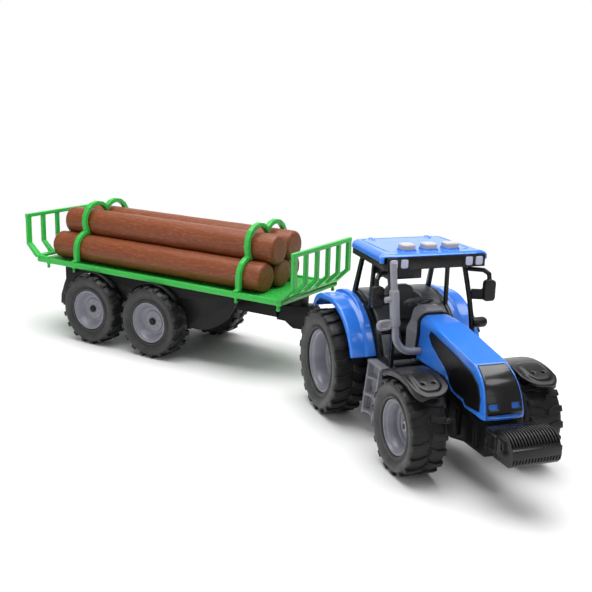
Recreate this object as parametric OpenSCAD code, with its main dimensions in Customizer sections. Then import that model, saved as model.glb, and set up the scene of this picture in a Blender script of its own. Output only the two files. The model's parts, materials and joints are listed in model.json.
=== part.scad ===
// Toy farm tractor with sound roof, friction drive and a hitched log trailer.
// Millimetres. The tractor is drawn with +X forward, +Y to its left and +Z up from the
// ground, and the trailer in its own frame at the hitch pin; both are placed at the end.

/* [Tractor layout] */
// Distance between the front and rear axles
wheelbase = 115; // [108:1:122]
// Height of the rear axle and radius of the rear tyres over the lugs
rear_r = 38; // [37:0.5:39]
// Width of a rear tyre
rear_w = 25; // [22:0.5:26]
// Radius of the front tyres over the lugs
front_r = 30.4; // [29:0.2:31]
// Width of a front tyre
front_w = 24.5; // [21:0.5:25]
// Lugs in one row of a tractor tyre
lug_count = 20; // [16:1:22]

/* [Cab and roof] */
// Length of the roof
roof_l = 63.8; // [60:0.2:66]
// Width of the roof at its front
roof_w = 77.6; // [74:0.2:79]
// Height of the roof's top face above the ground
roof_top = 127.8; // [126:0.2:130]
// Side of a square roof button
button_w = 9.6; // [9:0.2:10.6]
// Distance between two roof buttons
button_pitch = 16.2; // [15:0.1:17]
// How far a button travels when pressed
button_travel = 1.2; // [0.6:0.1:1.2]

/* [Trailer] */
// Angle that the trailer stands at behind the tractor
trailer_turn = 38.4; // [-60:0.2:60]
// Radius of the trailer tyres over the lugs
trailer_r = 30.8; // [29:0.2:31]
// Width of a trailer tyre
trailer_w = 20.5; // [18:0.5:21]
// Distance from the hitch pin to the first trailer axle
first_axle = 178; // [174:1:182]
// Distance between the two trailer axles
axle_gap = 68.3; // [67:0.1:70]
// Radius of a log
log_r = 12.25; // [11.5:0.05:12.25]
// Length of a log
log_l = 228; // [200:1:232]

/* [Friction drive] */
// Gear module
gear_m = 0.75; // [0.7:0.01:0.76]
// Teeth on the axle gear and on the idler's large gear
big_teeth = 28; // [26:2:28]
// Teeth on the idler's pinion and on the flywheel's pinion
small_teeth = 10; // [10:2:12]

/* [Hidden] */
$fn = 64;

// Colours of the mouldings
blue = "#1f7be0";
black = "#1b1b1d";
dark_grey = "#4a4c50";
light_grey = "#9a9aa6";
rim_grey = "#8f8fa0";
green = "#2fae3c";
brown = "#8a4526";
steel = "#b8bbc0";

// Wheel places: outer planes of the tyres and of the rims
rear_out = 58.5;
rear_rim_out = 55.4;
rear_rim_r = 23.4;
front_out = 52.7;
front_rim_out = 50.1;
front_rim_r = 18;
trailer_out = 53.6;
trailer_rim_out = 52.4;
trailer_rim_r = 17.5;

// Axles and fits
axle_r = 2;
run_fit = 0.06;
press_gap = 0.02;

// Cab
cab_lean = 2;
wheel_up = 14;
stub_r = 3.7;

// Roof stack heights
roof_low = 121.9;
roof_skin = 1.8;
roof_taper = 2.8;
panel_half = 36.2;
tray_low = 117.8;
tray_floor = 1.8;
board_z = tray_low + tray_floor;
board_t = 1.6;
collar_top = 129.6;
dome_h = 1.4;
button_x = 50.5;
button_top = collar_top + 1.8 + button_travel;
button_foot = board_z + board_t + dome_h + button_travel + 0.2;

// Hitch and trailer
hitch_x = -47.4;
hitch_plate_top = 40;
hitch_pin_r = 2.4;
deck_low = 64;
deck_top = 66.5;
deck_half = 44.2;
deck_front = -51;
deck_rear = -316;
rail_top = 68.3;
rail_low = 64.2;
rail_in = 41;
log_low_z = deck_top + 0.5 + log_r;
log_pitch = 2 * log_r + 0.15;
log_high_z = log_low_z + sqrt(pow(log_pitch, 2) * 3 / 4) + 0.1;
strap_t = 4;
strap_w = 4.5;
strap_gap = 0.3;
strap_lift = 2.4;
strap_slack = 1.5;
strap_front_x = -94.5;
strap_rear_x = -272;
peg_y = 42.6;
peg_r = 1.1;
skirt_out = 40.8;
skirt_in = 38.6;
front_gate_half = 45.2;
rear_gate_half = 46.6;
gate_bend_z = 80.2;
gate_top = 107;
front_gate_reach = 12;
rear_gate_reach = 11.5;
gate_lip = 0.3;

// Friction drive: shafts stand in a row ahead of the rear axle
centre_gap = 0.1;
shaft_step = gear_m * (big_teeth + small_teeth) / 2 + centre_gap;
shaft_r = 1;
plate_y = 9;

// Place of the origin: under the middle of the whole box
box_front = 194;
box_left = rear_out;
trailer_back = rear_gate_reach + gate_lip - deck_rear;
box_rear = hitch_x - cos(trailer_turn) * trailer_back - sin(trailer_turn) * rear_gate_half;
box_right = -sin(trailer_turn) * trailer_back - cos(trailer_turn) * rear_gate_half;
origin_x = (box_front + box_rear) / 2;
origin_y = (box_left + box_right) / 2;

// ---------- shared shapes ----------

// Points of an arc from angle a0 to a1
function arc(c, r, a0, a1, n = 16) =
    [for (i = [0 : n]) let (a = a0 + (a1 - a0) * i / n) [c[0] + r * cos(a), c[1] + r * sin(a)]];

// An XZ outline carried across the width w, centred on y = 0
module across(w) {
    rotate([90, 0, 0]) linear_extrude(w, center = true) children();
}

// An XZ outline carried from y = y0 to y = y1
module slab(y0, y1) {
    translate([0, y1, 0]) rotate([90, 0, 0]) linear_extrude(y1 - y0) children();
}

// A YZ outline carried from x = x0 to x = x1
module along(x0, x1) {
    translate([x0, 0, 0]) rotate([90, 0, 90]) linear_extrude(x1 - x0) children();
}

// An XY outline carried from z = z0 to z = z1
module rise(z0, z1) {
    translate([0, 0, z0]) linear_extrude(z1 - z0) children();
}

module both_sides() {
    children();
    mirror([0, 1, 0]) children();
}

// A rectangle with round corners, centred
module round_rect(w, h, r) {
    offset(r, $fn = 24) square([w - 2 * r, h - 2 * r], center = true);
}

// A bar between two points with round ends
module bar(a, b, r) {
    hull() {
        translate(a) sphere(r, $fn = 16);
        translate(b) sphere(r, $fn = 16);
    }
}

// A cylinder lying across the model from y0 to y1
module cross_rod(x, z, r, y0, y1) {
    translate([x, y1, z]) rotate([90, 0, 0]) cylinder(h = y1 - y0, r = r);
}

// Wheel frame: the wheel's own +Z points outboard, with its outer plane at y
module wheel_at(x, y, z, side) {
    translate([x, side * y, z]) rotate([-90 * side, 0, 0]) children();
}

// ---------- wheels ----------

// One lug seen from outside the tread: a slanted foot near the middle, square at the shoulder
function lug_outline(w, lug, slant) =
    [[-lug / 2, w * 0.53], [lug / 2, w * 0.53], [lug / 2 + slant, w * 0.76],
     [lug / 2 + slant, w + 1], [slant - lug / 2, w + 1], [slant - lug / 2, w * 0.79]];

module lug_rows(r, w, n, lug, deep) {
    for (row = [0, 1])
        for (i = [0 : n - 1])
            rotate([0, 0, (i + row / 2) * 360 / n])
                translate([0, 0, row * w]) mirror([0, 0, row])
                    rotate([90, 0, 90]) translate([0, 0, r - deep])
                        linear_extrude(deep + 2) polygon(lug_outline(w, lug, lug * 0.55));
}

// Lugged tyre, from its inner plane at z = -w to its outer plane at z = 0
module tyre(r, w, bead, n) {
    lug_h = r * 0.046;
    wall = r * 0.92;
    color(black) translate([0, 0, -w]) {
        rotate_extrude($fn = 96)
            polygon([[bead, 2.4], [bead + 1.2, 1.4], [bead + 2.5, 1], [r * 0.78, 0.3],
                     [wall - 1, 0], [wall, 0.5], [r - lug_h - 0.3, 2.4], [r - lug_h, 5],
                     [r - lug_h, w - 5], [r - lug_h - 0.3, w - 2.4], [wall, w - 0.5],
                     [wall - 1, w], [r * 0.78, w - 0.3], [bead + 2.5, w - 1],
                     [bead + 1.2, w - 1.4], [bead, w - 2.4]]);
        intersection() {
            rotate_extrude($fn = 96)
                polygon([[wall - 1, 0.1], [wall + 0.5, 0.3], [r - 0.5, 0.5], [r, 1.1],
                         [r, w - 1.1], [r - 0.5, w - 0.5], [wall + 0.5, w - 0.3], [wall - 1, w - 0.1]]);
            lug_rows(r, w, n, r * 0.135, r * 0.15);
        }
    }
}

// Deep dished rim; z = 0 is its outer plane and it reaches back to z = -deep
module rim(r, deep, floor_z, hub_top) {
    edge = r - 0.05;
    color(rim_grey) rotate_extrude($fn = 96)
        polygon([[axle_r + press_gap, hub_top], [r * 0.2, hub_top], [r * 0.24, hub_top - 0.8],
                 [r * 0.26, floor_z + 1.2], [r * 0.42, floor_z + 1.2], [r * 0.44, floor_z],
                 [r * 0.62, floor_z], [r * 0.66, floor_z + 1.4], [r * 0.72, floor_z + 1.4],
                 [r * 0.78, floor_z + 5], [r * 0.85, -2.6], [r * 0.9, -1.8], [r * 0.925, -0.3],
                 [r * 0.945, 0], [r * 0.985, 0], [edge, -0.6], [edge, -deep],
                 [edge - 1.8, -deep], [edge - 1.8, floor_z - 1.8],
                 [axle_r + press_gap + 1.6, floor_z - 1.8], [axle_r + press_gap + 1.6, -deep],
                 [axle_r + press_gap, -deep]]);
}

module axle_rod(half) {
    rotate([90, 0, 0]) cylinder(h = 2 * half, r = axle_r, center = true);
}

module rear_axle() {
    color(steel) translate([0, 0, rear_r]) axle_rod(rear_rim_out - 10);
}

module front_axle() {
    color(steel) translate([wheelbase, 0, front_r]) axle_rod(front_rim_out - 8);
}

module rear_rim(side) {
    wheel_at(0, rear_rim_out, rear_r, side) rim(rear_rim_r, rear_w - 4, -13, -8);
}

module rear_tyre(side) {
    wheel_at(0, rear_out, rear_r, side) tyre(rear_r, rear_w, rear_rim_r, lug_count);
}

module rear_rim_left() { rear_rim(1); }
module rear_rim_right() { rear_rim(-1); }
module rear_tyre_left() { rear_tyre(1); }
module rear_tyre_right() { rear_tyre(-1); }

module front_rims() {
    for (side = [-1, 1])
        wheel_at(wheelbase, front_rim_out, front_r, side) rim(front_rim_r, front_w - 4, -10, -6);
}

module front_tyres() {
    for (side = [-1, 1])
        wheel_at(wheelbase, front_out, front_r, side)
            tyre(front_r, front_w, front_rim_r, lug_count - 2);
}

// ---------- friction drive ----------

// Point of an involute of a circle of radius rb, unrolled by t degrees
function involute(rb, t) =
    [rb * (cos(t) + t * PI / 180 * sin(t)), rb * (sin(t) - t * PI / 180 * cos(t))];
// Unroll angle at which that involute reaches radius r
function unroll(rb, r) = sqrt(max(0, pow(r / rb, 2) - 1)) * 180 / PI;
function turned(p, a) = [p[0] * cos(a) - p[1] * sin(a), p[0] * sin(a) + p[1] * cos(a)];
function flipped(p) = [p[0], -p[1]];

// One involute tooth about the +X axis, thinned by the backlash
function tooth(n, steps = 5) =
    let (pitch_r = gear_m * n / 2, base_r = pitch_r * cos(20),
         tip_r = pitch_r + 0.85 * gear_m, root_r = pitch_r - 1.15 * gear_m,
         lean = atan2(involute(base_r, unroll(base_r, pitch_r))[1],
                      involute(base_r, unroll(base_r, pitch_r))[0]),
         half = 90 / n - backlash_deg(n) + lean,
         side = [for (i = [0 : steps])
                 turned(flipped(involute(base_r, unroll(base_r, base_r + (tip_r - base_r) * i / steps))),
                        half)])
    concat([root_r * [cos(half), -sin(half)]],
           [for (p = side) flipped(p)],
           [for (i = [steps : -1 : 0]) side[i]],
           [root_r * [cos(half), sin(half)]]);
function backlash_deg(n) = 0.06 * 180 / PI / (gear_m * n / 2);
function gear_outline(n) =
    [for (k = [0 : n - 1]) each [for (p = tooth(n)) turned(p, 360 * k / n)]];

// Spur gear lying across the model from y0 to y1, turned by the given angle
module gear(x, n, turn, y0, y1) {
    translate([x, y1, rear_r]) rotate([90, 0, 0]) rotate([0, 0, turn])
        linear_extrude(y1 - y0) polygon(gear_outline(n));
}

module drive_gear() {
    color("white") difference() {
        union() {
            gear(0, big_teeth, 0, -6.5, -2.6);
            cross_rod(0, rear_r, 3.2, -8.4, -2.6);
        }
        cross_rod(0, rear_r, axle_r + press_gap, -9, -2);
        for (a = [0 : 60 : 300])
            translate([0, 0, rear_r]) rotate([0, a, 0]) translate([6.5, 0, 0])
                rotate([90, 0, 0]) cylinder(h = 20, r = 1.5, center = true);
    }
}

module idler_gear() {
    color("white") {
        gear(shaft_step, small_teeth, 180 / small_teeth, -6.9, -1.9);
        gear(shaft_step, big_teeth, 0, -1.9, 0.6);
        cross_rod(shaft_step, rear_r, shaft_r + 0.8, 0.6, 8.5);
        cross_rod(shaft_step, rear_r, shaft_r + 0.8, -8.5, -6.9);
        cross_rod(shaft_step, rear_r, shaft_r, -plate_y - 1.6, plate_y + 1.6);
    }
}

module flywheel() {
    x = 2 * shaft_step;
    color(steel) {
        gear(x, small_teeth, 180 / small_teeth, -2.2, 1.5);
        translate([x, 7.6, rear_r]) rotate([90, 0, 0])
            rotate_extrude() polygon([[0, 0], [8.9, 0], [9.5, 0.6], [9.5, 5.5], [8.9, 6.1],
                                      [6.8, 6.1], [6.4, 5], [3, 5], [2.6, 6.1], [0, 6.1]]);
        cross_rod(x, rear_r, shaft_r, -plate_y - 1.6, plate_y + 1.6);
    }
}

module gearbox_case() {
    front = 2 * shaft_step + 12;
    back = -13.6;
    color(dark_grey) difference() {
        union() {
            both_sides() slab(plate_y, plate_y + 1.6)
                polygon([[back, 22.6], [front, 22.6], [front, 44], [front - 6, 50.3],
                         [6, 50.3], [back, 44]]);
            translate([back - 3, -plate_y - 3, 22.6]) cube([front - back + 6, 2 * plate_y + 6, 1.6]);
            for (x = [back, front - 1.6]) translate([x, -plate_y - 0.5, 22.6]) cube([1.6, 2 * plate_y + 1, 14]);
        }
        cross_rod(0, rear_r, axle_r + run_fit, -20, 20);
        for (x = [shaft_step, 2 * shaft_step])
            cross_rod(x, rear_r, shaft_r + run_fit, -20, 20);
        translate([back + 1.6, -plate_y, 22]) cube([front - back - 3.2, 2 * plate_y, 3]);
    }
}

// ---------- chassis ----------

module chassis_side() {
    polygon([[-32, 24], [-28, 20.6], [100, 20.6], [118, 20.6], [134, 24.4], [158.5, 24.4],
             [158.5, 46.5], [134.1, 46.5], [131, 49.1], [121, 50], [116, 50.8], [111, 51.9],
             [62, 51.9], [-30, 51.9], [-32, 49]]);
}

module screw_places() {
    for (p = [[-24, -18], [-24, 18], [54, -18], [54, 18]]) translate([p[0], p[1], 0]) children();
}

module chassis() {
    color(black) difference() {
        union() {
            intersection() {
                across(53) chassis_side();
                rise(0, 80) polygon([[-40, -26.5], [60, -26.5], [72, -12], [170, -12],
                                     [170, 12], [72, 12], [60, 26.5], [-40, 26.5]]);
            }
            across(21) polygon([[62, 50], [111, 50], [108, 56.9], [66.8, 56.9], [66.8, 51]]);
            translate([156, -9, 30]) cube([8, 18, 14]);
            both_sides() for (x = [124, 146])
                translate([x, 11.5, 26]) cube([3, 1.6, 17.5]);
            both_sides() translate([131, 11, 27]) cube([10, 1.6, 14]);
        }
        // hollow for the friction drive, open below
        difference() {
            rise(19, 50.4) square_from([-29.5, -24.2], [58, 24.2]);
            screw_places() cylinder(h = 60, r = 3.4);
        }
        // wells for the lower cover and its screws
        rise(20, 22.6) square_from([-30.6, -25.2], [59.2, 25.2]);
        screw_places() cylinder(h = 32, r = 1.2 + press_gap);
        cross_rod(0, rear_r, axle_r + run_fit, -40, 40);
        cross_rod(wheelbase, front_r, axle_r + run_fit, -40, 40);
        // recess below the hood
        translate([86, -7, 19]) cube([16, 14, 21]);
    }
}

module square_from(a, b) {
    translate(a) square([b[0] - a[0], b[1] - a[1]]);
}

module chassis_cover() {
    color(black) difference() {
        union() {
            rise(20.7, 22.5) square_from([-30.4, -25], [59, 25]);
            for (x = [-14 : 10 : 46]) rise(19.9, 20.7) square_from([x, -20], [x + 1.6, 20]);
        }
        screw_places() {
            cylinder(h = 40, r = 1.2 + press_gap);
            translate([0, 0, 19]) cylinder(h = 2.7, r = 2.7);
        }
    }
}

module body_screws() {
    color(steel) screw_places() translate([0, 0, 20]) difference() {
        union() {
            cylinder(h = 1.7, r = 2.4);
            cylinder(h = 11, r = 1.2);
        }
        for (a = [0, 90]) rotate([0, 0, a]) translate([-1.5, -0.3, -1]) cube([3, 0.6, 1.8]);
    }
}

module tow_hitch() {
    color(black) difference() {
        union() {
            rise(36, hitch_plate_top) hull() {
                square_from([-33, -8], [-32.1, 8]);
                translate([hitch_x, 0]) circle(6.5, $fn = 40);
            }
            along(-34.5, -32.1) polygon([[-11, 28], [11, 28], [11, 44], [7, 47], [-7, 47], [-11, 44]]);
            both_sides() slab(4, 6) polygon([[-34, 27], [-34, 36.5], [-43, 36.5]]);
            translate([hitch_x, 0, 36]) cylinder(h = 13.5, r = hitch_pin_r);
            translate([hitch_x, 0, 49.4]) cylinder(h = 1.2, r1 = hitch_pin_r, r2 = 1.6);
        }
        both_sides() along(-36, -30) translate([8.4, 32]) circle(1.2);
    }
}

// Side outline of the front weight, with its smooth band between z = 38 and z = 43
function weight_outline() =
    concat([[164.1, 33], [176, 31.6], [190.5, 31.6], [193.4, 34.5], [194, 38], [194, 43]],
           arc([181.4, 37.2], 12.6, 28, 84, 8), [[176.6, 49.6], [172.5, 46.2], [164.1, 46.2]]);

module weight_grooves(y) {
    slab(y - 0.45, y + 0.45) difference() {
        union() {
            translate([178, 43.6]) square([20, 12]);
            translate([174, 28]) square([24, 9.4]);
            translate([160, 47]) square([18.1, 8]);
        }
        offset(delta = -1.3) polygon(weight_outline());
    }
}

module front_weight() {
    color(black) difference() {
        union() {
            across(32) polygon(weight_outline());
            both_sides() slab(16, 16.9) polygon([[166, 35], [177, 35], [177, 45], [166, 45]]);
        }
        for (i = [-7.5 : 7.5]) weight_grooves(i * 2);
        both_sides() slab(16.1, 18) polygon([[168, 37], [175, 37], [175, 43], [168, 43]]);
        both_sides() cross_rod(183.5, 41, 3, 15.2, 18);
    }
}

// ---------- hood ----------

function hood_top() =
    concat([[66.9, 87.6], [84, 85.4], [112, 80.3], [132, 76.8], [139, 75.6]],
           [[144.5, 72.6], [150, 68], [154, 62.2], [156.7, 55], [158, 49.4], [158, 46.7]]);

function hood_side() =
    concat(hood_top(), [[134, 46.7], [131, 49.4], [121, 50.2], [116.3, 51], [112, 54.6],
                        [106, 57.1], [66.9, 57.1]]);

function hood_front() =
    concat([[-13.7, 40], [-13.5, 50], [-12.9, 60], [-11.5, 74]], arc([-5.5, 81], 6.2, 175, 95, 6),
           arc([5.5, 81], 6.2, 85, 5, 6), [[11.5, 74], [12.9, 60], [13.5, 50], [13.7, 40]]);

// The hood's outer form, grown or shrunk by g
module hood_form(g) {
    intersection() {
        across(40) offset(delta = g) polygon(hood_side());
        along(50, 180) offset(delta = g) polygon(hood_front());
    }
}

// The black panel on the hood's side
module panel_outline() {
    offset(0.8, $fn = 16) offset(delta = -0.8)
        polygon([[82.5, 80.6], [101, 77], [124, 72.8], [138, 69.8], [146, 65.4], [150.6, 58.4],
                 [151.4, 50.4], [135.4, 49], [132, 51.6], [120.4, 52.3], [114.4, 55.6],
                 [111, 59.6], [105, 63.4], [95, 67.6], [84.5, 72.4], [80.5, 76.6]]);
}

// The mask seen from the front
module mask_outline() {
    offset(1.4, $fn = 16) offset(delta = -1.4)
        polygon([[-12.4, 49.8], [12.4, 49.8], [12.1, 58], [11.2, 67], [9.9, 75.2],
                 [-9.9, 75.2], [-11.2, 67], [-12.1, 58]]);
}

module hood_skin(inner, outer) {
    difference() {
        hood_form(outer);
        hood_form(inner);
    }
}

module panel_body(inner, outer, gap) {
    intersection() {
        hood_skin(inner, outer);
        both_sides() slab(7, 20) offset(delta = gap) panel_outline();
    }
}

module mask_body(inner, outer, gap) {
    intersection() {
        hood_skin(inner, outer);
        along(138.6 - gap, 170) offset(delta = gap) mask_outline();
    }
}

module hood() {
    color(blue) difference() {
        union() {
            hood_form(0);
            rise(46.7, 48.6) both_sides() polygon([[150, 0], [150, 14.2], [155.6, 14.2], [158.4, 11.4], [159.6, 5],
                                                   [159.6, 0]]);
        }
        translate([0, 0, -2.2]) hood_form(-1.9);
        panel_body(-0.7, 2, 0.05);
        mask_body(-0.7, 2, 0.05);
        // seat of the exhaust elbow
        cross_rod(70.5, 63.6, 2.4, -14, -10);
    }
}

module side_panels() {
    color(black) panel_body(-0.65, 0.35, 0);
}

module grille_mask() {
    color(black) difference() {
        mask_body(-0.65, 0.45, 0);
        both_sides() along(150, 170) translate([7.6, 55]) round_rect(6.2, 3.3, 0.8);
        // seam across the outer face
        difference() {
            along(150, 170) translate([0, 61.6]) square([21, 0.5], center = true);
            hood_form(0.1);
        }
    }
}

// ---------- cab ----------

// Side frame of the cab: pillars, roof rail, fender arc and sill
module side_frame_outline() {
    difference() {
        polygon(concat([[-5, 86], [6.5, tray_low + 0.5], [51, tray_low + 0.5]],
                       [[55.5, 108], [60, 96], [63.8, 83], [66.4, 70], [66.8, 60], [66.8, 52]],
                       [[40, 52], [0, 60]]));
        translate([0, rear_r]) circle(rear_r + 9.8);
        // rear quarter window
        difference() {
            polygon([[0.6, 90], [8.7, 115.2], [26, 115.2], [24.2, 80], [0, 80]]);
            translate([0, rear_r]) circle(rear_r + 13.4);
        }
        // door window
        difference() {
            polygon([[28.6, 115.2], [49.4, 115.2], [53.6, 105], [57.6, 94.6], [61, 82], [63.4, 69],
                     [63.8, 60], [63.8, 55.4], [40, 55.4], [26.8, 80]]);
            translate([0, rear_r]) circle(rear_r + 13.4);
        }
    }
}

module lamp_places() {
    for (y = [-31.6, -24, 24, 31.6]) translate([63.1, y, 121.9]) children();
}

module lamp_face(w, h) {
    rotate([90, 0, 90]) linear_extrude(1.6) round_rect(w, h, 1.2);
}

// Roof frame: a tray under the roof, with the lamp panel across its front
module roof_tray() {
    difference() {
        union() {
            rise(tray_low, roof_low - 0.1) polygon(roof_plan(0.8));
            rise(tray_low, 125.9) square_from([60.4, -panel_half], [63.6, panel_half]);
            rise(tray_low, 125.9) both_sides() square_from([60.4, 19.4], [64.2, panel_half]);
        }
        rise(board_z, 130) polygon(roof_plan(3.3));
        lamp_places() lamp_face(5.4, 6);
        // sound holes under the speaker
        for (a = [0 : 60 : 300])
            translate([17 + 4.5 * cos(a), 4.5 * sin(a), tray_low - 1]) cylinder(h = 4, r = 1);
        translate([17, 0, tray_low - 1]) cylinder(h = 4, r = 1);
    }
}

module cab_frame() {
    color(black) {
        roof_tray();
        // side frames, leaning inward above the sill
        both_sides() translate([0, 30.8, 52]) rotate([cab_lean, 0, 0]) translate([0, -30.8, -52])
            slab(29.6, 32) side_frame_outline();
        // headers under the tray, bulkhead behind the hood and windscreen sill
        for (x = [4, 48]) translate([x, -28.4, tray_low - 2.4]) cube([2.4, 56.8, 2.6]);
        along(65, 66.7) intersection() {
            offset(1) polygon(hood_front());
            square_from([-20, 57.1], [20, 92]);
        }
        both_sides() translate([64.4, 13.4, 57.1]) cube([2.4, 17, 4]);
        // round stub on each front pillar
        both_sides() {
            cross_rod(63.4, 78.2, stub_r, 30.2, 38);
            translate([63.4, 38, 78.2]) sphere(stub_r, $fn = 32);
        }
    }
}

module cab_tub() {
    color(dark_grey) {
        // floor
        rise(52, 54) square_from([-16, -28], [49, 28]);
        rise(52, 54) square_from([49, -28], [64, 28]);
        // arches over the rear wheels
        both_sides() intersection() {
            slab(14, 27.9) difference() {
                translate([0, rear_r]) circle(rear_r + 14.2);
                translate([0, rear_r]) circle(rear_r + 9.4);
            }
            slab(10, 30) polygon([[-16, 52.5], [52, 52.5], [52, 100], [-3.3, 100], [-8, 84], [-16, 76]]);
        }
        both_sides() slab(13, 14.6) intersection() {
            translate([0, rear_r]) circle(rear_r + 14.2);
            polygon([[-12, 52], [52, 52], [52, 100], [-0.8, 100], [-0.8, 80], [-12, 70]]);
        }
        // rear wall
        along(-15.5, -13.5) square_from([-28, 52], [28, 74]);
        // seat: pedestal, cushion, back and headrest
        rise(53, 63) translate([22, 0]) round_rect(20, 16, 3);
        slab(-11, 11) offset(1.6, $fn = 16) polygon([[11, 64.4], [33, 65.6], [33.6, 67.6], [14, 68]]);
        intersection() {
            along(2, 20) translate([0, 80]) round_rect(22, 29, 6);
            slab(-12, 12) offset(1.5, $fn = 16)
                polygon([[10.5, 64], [14, 64], [10.5, 93], [7.5, 93]]);
        }
    }
}

module dashboard() {
    color(light_grey) {
        difference() {
            intersection() {
                slab(-13.4, 13.4) polygon([[64.9, 57.2], [64.9, 89.6], [61, 91.4], [54, 91],
                                           [48.6, 87.4], [48.4, 84], [50, 74], [50.6, 57.2]]);
                along(40, 70) polygon([[-13.4, 54.1], [13.4, 54.1], [13.2, 74], [9.6, 80], [7.6, 87],
                                       [5, 91.4], [-5, 91.4], [-7.6, 87], [-9.6, 80], [-13.2, 74]]);
            }
            translate([47, -6, 73.4]) cube([4, 12, 6.6]);
        }
        rise(54.1, 58) square_from([51, -13.4], [64.9, 13.4]);
        steering_axis() translate([0, 0, -10]) cylinder(h = wheel_up + 12, r = 1.3);
    }
}

// Frame of the steering wheel: its own +Z runs up the column
module steering_axis() {
    translate([47.6, 0, 77.1]) rotate([0, -28, 0]) children();
}

module steering_wheel() {
    color(dark_grey) steering_axis() translate([0, 0, wheel_up]) difference() {
        union() {
            rotate_extrude() translate([9.4, 0]) circle(1.15, $fn = 24);
            cylinder(h = 3.2, r = 2.6, center = true);
            for (a = [0, 120, 240]) rotate([0, 0, a]) translate([0, -0.9, -0.7]) cube([9, 1.8, 1.4]);
        }
        translate([0, 0, -3]) cylinder(h = 5.3, r = 1.3 + run_fit);
    }
}

// ---------- roof and electronics ----------

// Plan of the roof, set in by g; it tapers to the rear
function roof_plan(g) =
    let (rf = max(3.6 - g, 0.6), rr = max(5 - g, 0.8),
         f = [roof_l - g - rf, roof_w / 2 - g - rf],
         b = [g + rr, roof_w / 2 - roof_taper - g - rr])
    concat(arc(f, rf, 0, 87, 5), arc(b, rr, 87, 180, 6),
           arc([b[0], -b[1]], rr, 180, 273, 6), arc([f[0], -f[1]], rf, 273, 360, 5));

// A thin slice of the roof, set in by the given amount
module roof_slice(z, inset) {
    translate([0, 0, z]) linear_extrude(0.1) polygon(roof_plan(inset));
}

module button_places() {
    for (i = [-1 : 1]) translate([button_x, i * button_pitch, 0]) children();
}

module roof() {
    color(blue) difference() {
        union() {
            hull() {
                roof_slice(roof_low, 0);
                roof_slice(roof_low + 3, 0.15);
                roof_slice(roof_top - 1.2, 1.3);
                roof_slice(roof_top - 0.1, 3.7);
            }
            button_places() rise(roof_top - 1, collar_top) round_rect(button_w + 1.4, button_w + 1.4, 2.5);
            both_sides() for (x = [5.4, 10]) translate([x, 22, roof_top - 1]) cylinder(h = 1.9, r = x > 8 ? 0.9 : 1.7);
        }
        // hollow under the skin
        hull() {
            roof_slice(roof_low - 1, 2.2);
            roof_slice(roof_top - roof_skin - 0.1, 4);
        }
        // opening for the lamp panel
        rise(roof_low - 1, 126) square_from([60.2, -panel_half - 0.2], [66, panel_half + 0.2]);
        button_places() rise(roof_top - 4, 135) round_rect(button_w + 0.5, button_w + 0.5, 2);
        // engraved frame line on the top face
        rise(roof_top - 0.35, roof_top + 0.1) difference() {
            translate([29.4, 0]) round_rect(48, 62, 6);
            translate([29.4, 0]) round_rect(47, 61, 5.5);
            translate([button_x, 0]) square([button_w + 4, 3 * button_pitch + 1], center = true);
        }
    }
}

module roof_lamps() {
    color("#cfd0e6") lamp_places() lamp_face(5.3, 5.9);
}

module roof_button(i) {
    color("#c9c8cc") translate([button_x, i * button_pitch, 0]) {
        rise(button_foot, button_top - 0.6) round_rect(button_w, button_w, 1.8);
        rise(button_top - 0.6, button_top) round_rect(button_w - 1, button_w - 1, 1.6);
        rise(button_foot, button_foot + 1.6) round_rect(button_w + 2.4, button_w + 2.4, 2.8);
    }
}

module button_left() { roof_button(1); }
module button_middle() { roof_button(0); }
module button_right() { roof_button(-1); }

module circuit_board() {
    color("seagreen") difference() {
        rise(board_z, board_z + board_t) square_from([38, -27], [59, 27]);
        for (y = [-25, 25]) for (x = [41, 56]) translate([x, y, 110]) cylinder(h = 20, r = 0.9);
    }
}

module rubber_domes() {
    color("ivory") button_places() translate([-1, 0, board_z + board_t])
        rotate_extrude() polygon([[0, 0], [4.6, 0], [4.6, 0.5], [3.4, 0.6], [2.4, dome_h - 0.1], [0, dome_h]]);
}

module speaker() {
    color(black) translate([17, 0, board_z]) rotate_extrude()
        polygon([[0, 1], [7.4, 1], [7.8, 0], [9.4, 0], [9.4, 1.6], [6, 2.8], [4.6, 2.8], [4.6, 4.6],
                 [0, 4.6]]);
}

box_x0 = 21.4;
box_x1 = 47.8;
box_y0 = -27.2;
box_y1 = -2.4;
box_low = 107.6;

module electronics_box() {
    color(black) difference() {
        rise(box_low, tray_low - 0.01) square_from([box_x0, box_y0], [box_x1, box_y1]);
        rise(box_low - 1, tray_low - 1.6) square_from([box_x0 + 1.5, box_y0 + 1.5], [box_x1 - 1.5, box_y1 - 1.5]);
    }
}

module battery_door() {
    color(black) difference() {
        rise(box_low, box_low + 1.4) square_from([box_x0 + 1.6, box_y0 + 1.6], [box_x1 - 1.6, box_y1 - 1.6]);
        translate([box_x1 - 5, (box_y0 + box_y1) / 2, box_low - 0.5]) cylinder(h = 1.3, r = 1.7);
    }
}

module button_cells() {
    color(steel) for (p = [[28.9, -19.8], [40.5, -19.8], [34.7, -9.8]])
        translate([p[0], p[1], box_low + 1.5]) {
            cylinder(h = 4.4, r = 5.75);
            cylinder(h = 5.2, r = 4.9);
        }
}

// ---------- fenders, ladder, exhaust, mirrors ----------

// Outer line of a rear fender from its lower front end to its rear end, set in by g
function fender_arch(g) =
    concat(arc([0, rear_r], rear_r + 9.7 - g, 19, 100, 24),
           [[-14.4, 84.8 - g], [-20.4 + g * 0.2, 83.8 - g], [-26.6 + g * 0.5, 81 - g * 0.9],
            [-30.9 + g * 0.8, 76.6 - g * 0.6], [-33.4 + g, 71.6 - g * 0.3]]);

function backward(v) = [for (i = [len(v) - 1 : -1 : 0]) v[i]];

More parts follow.
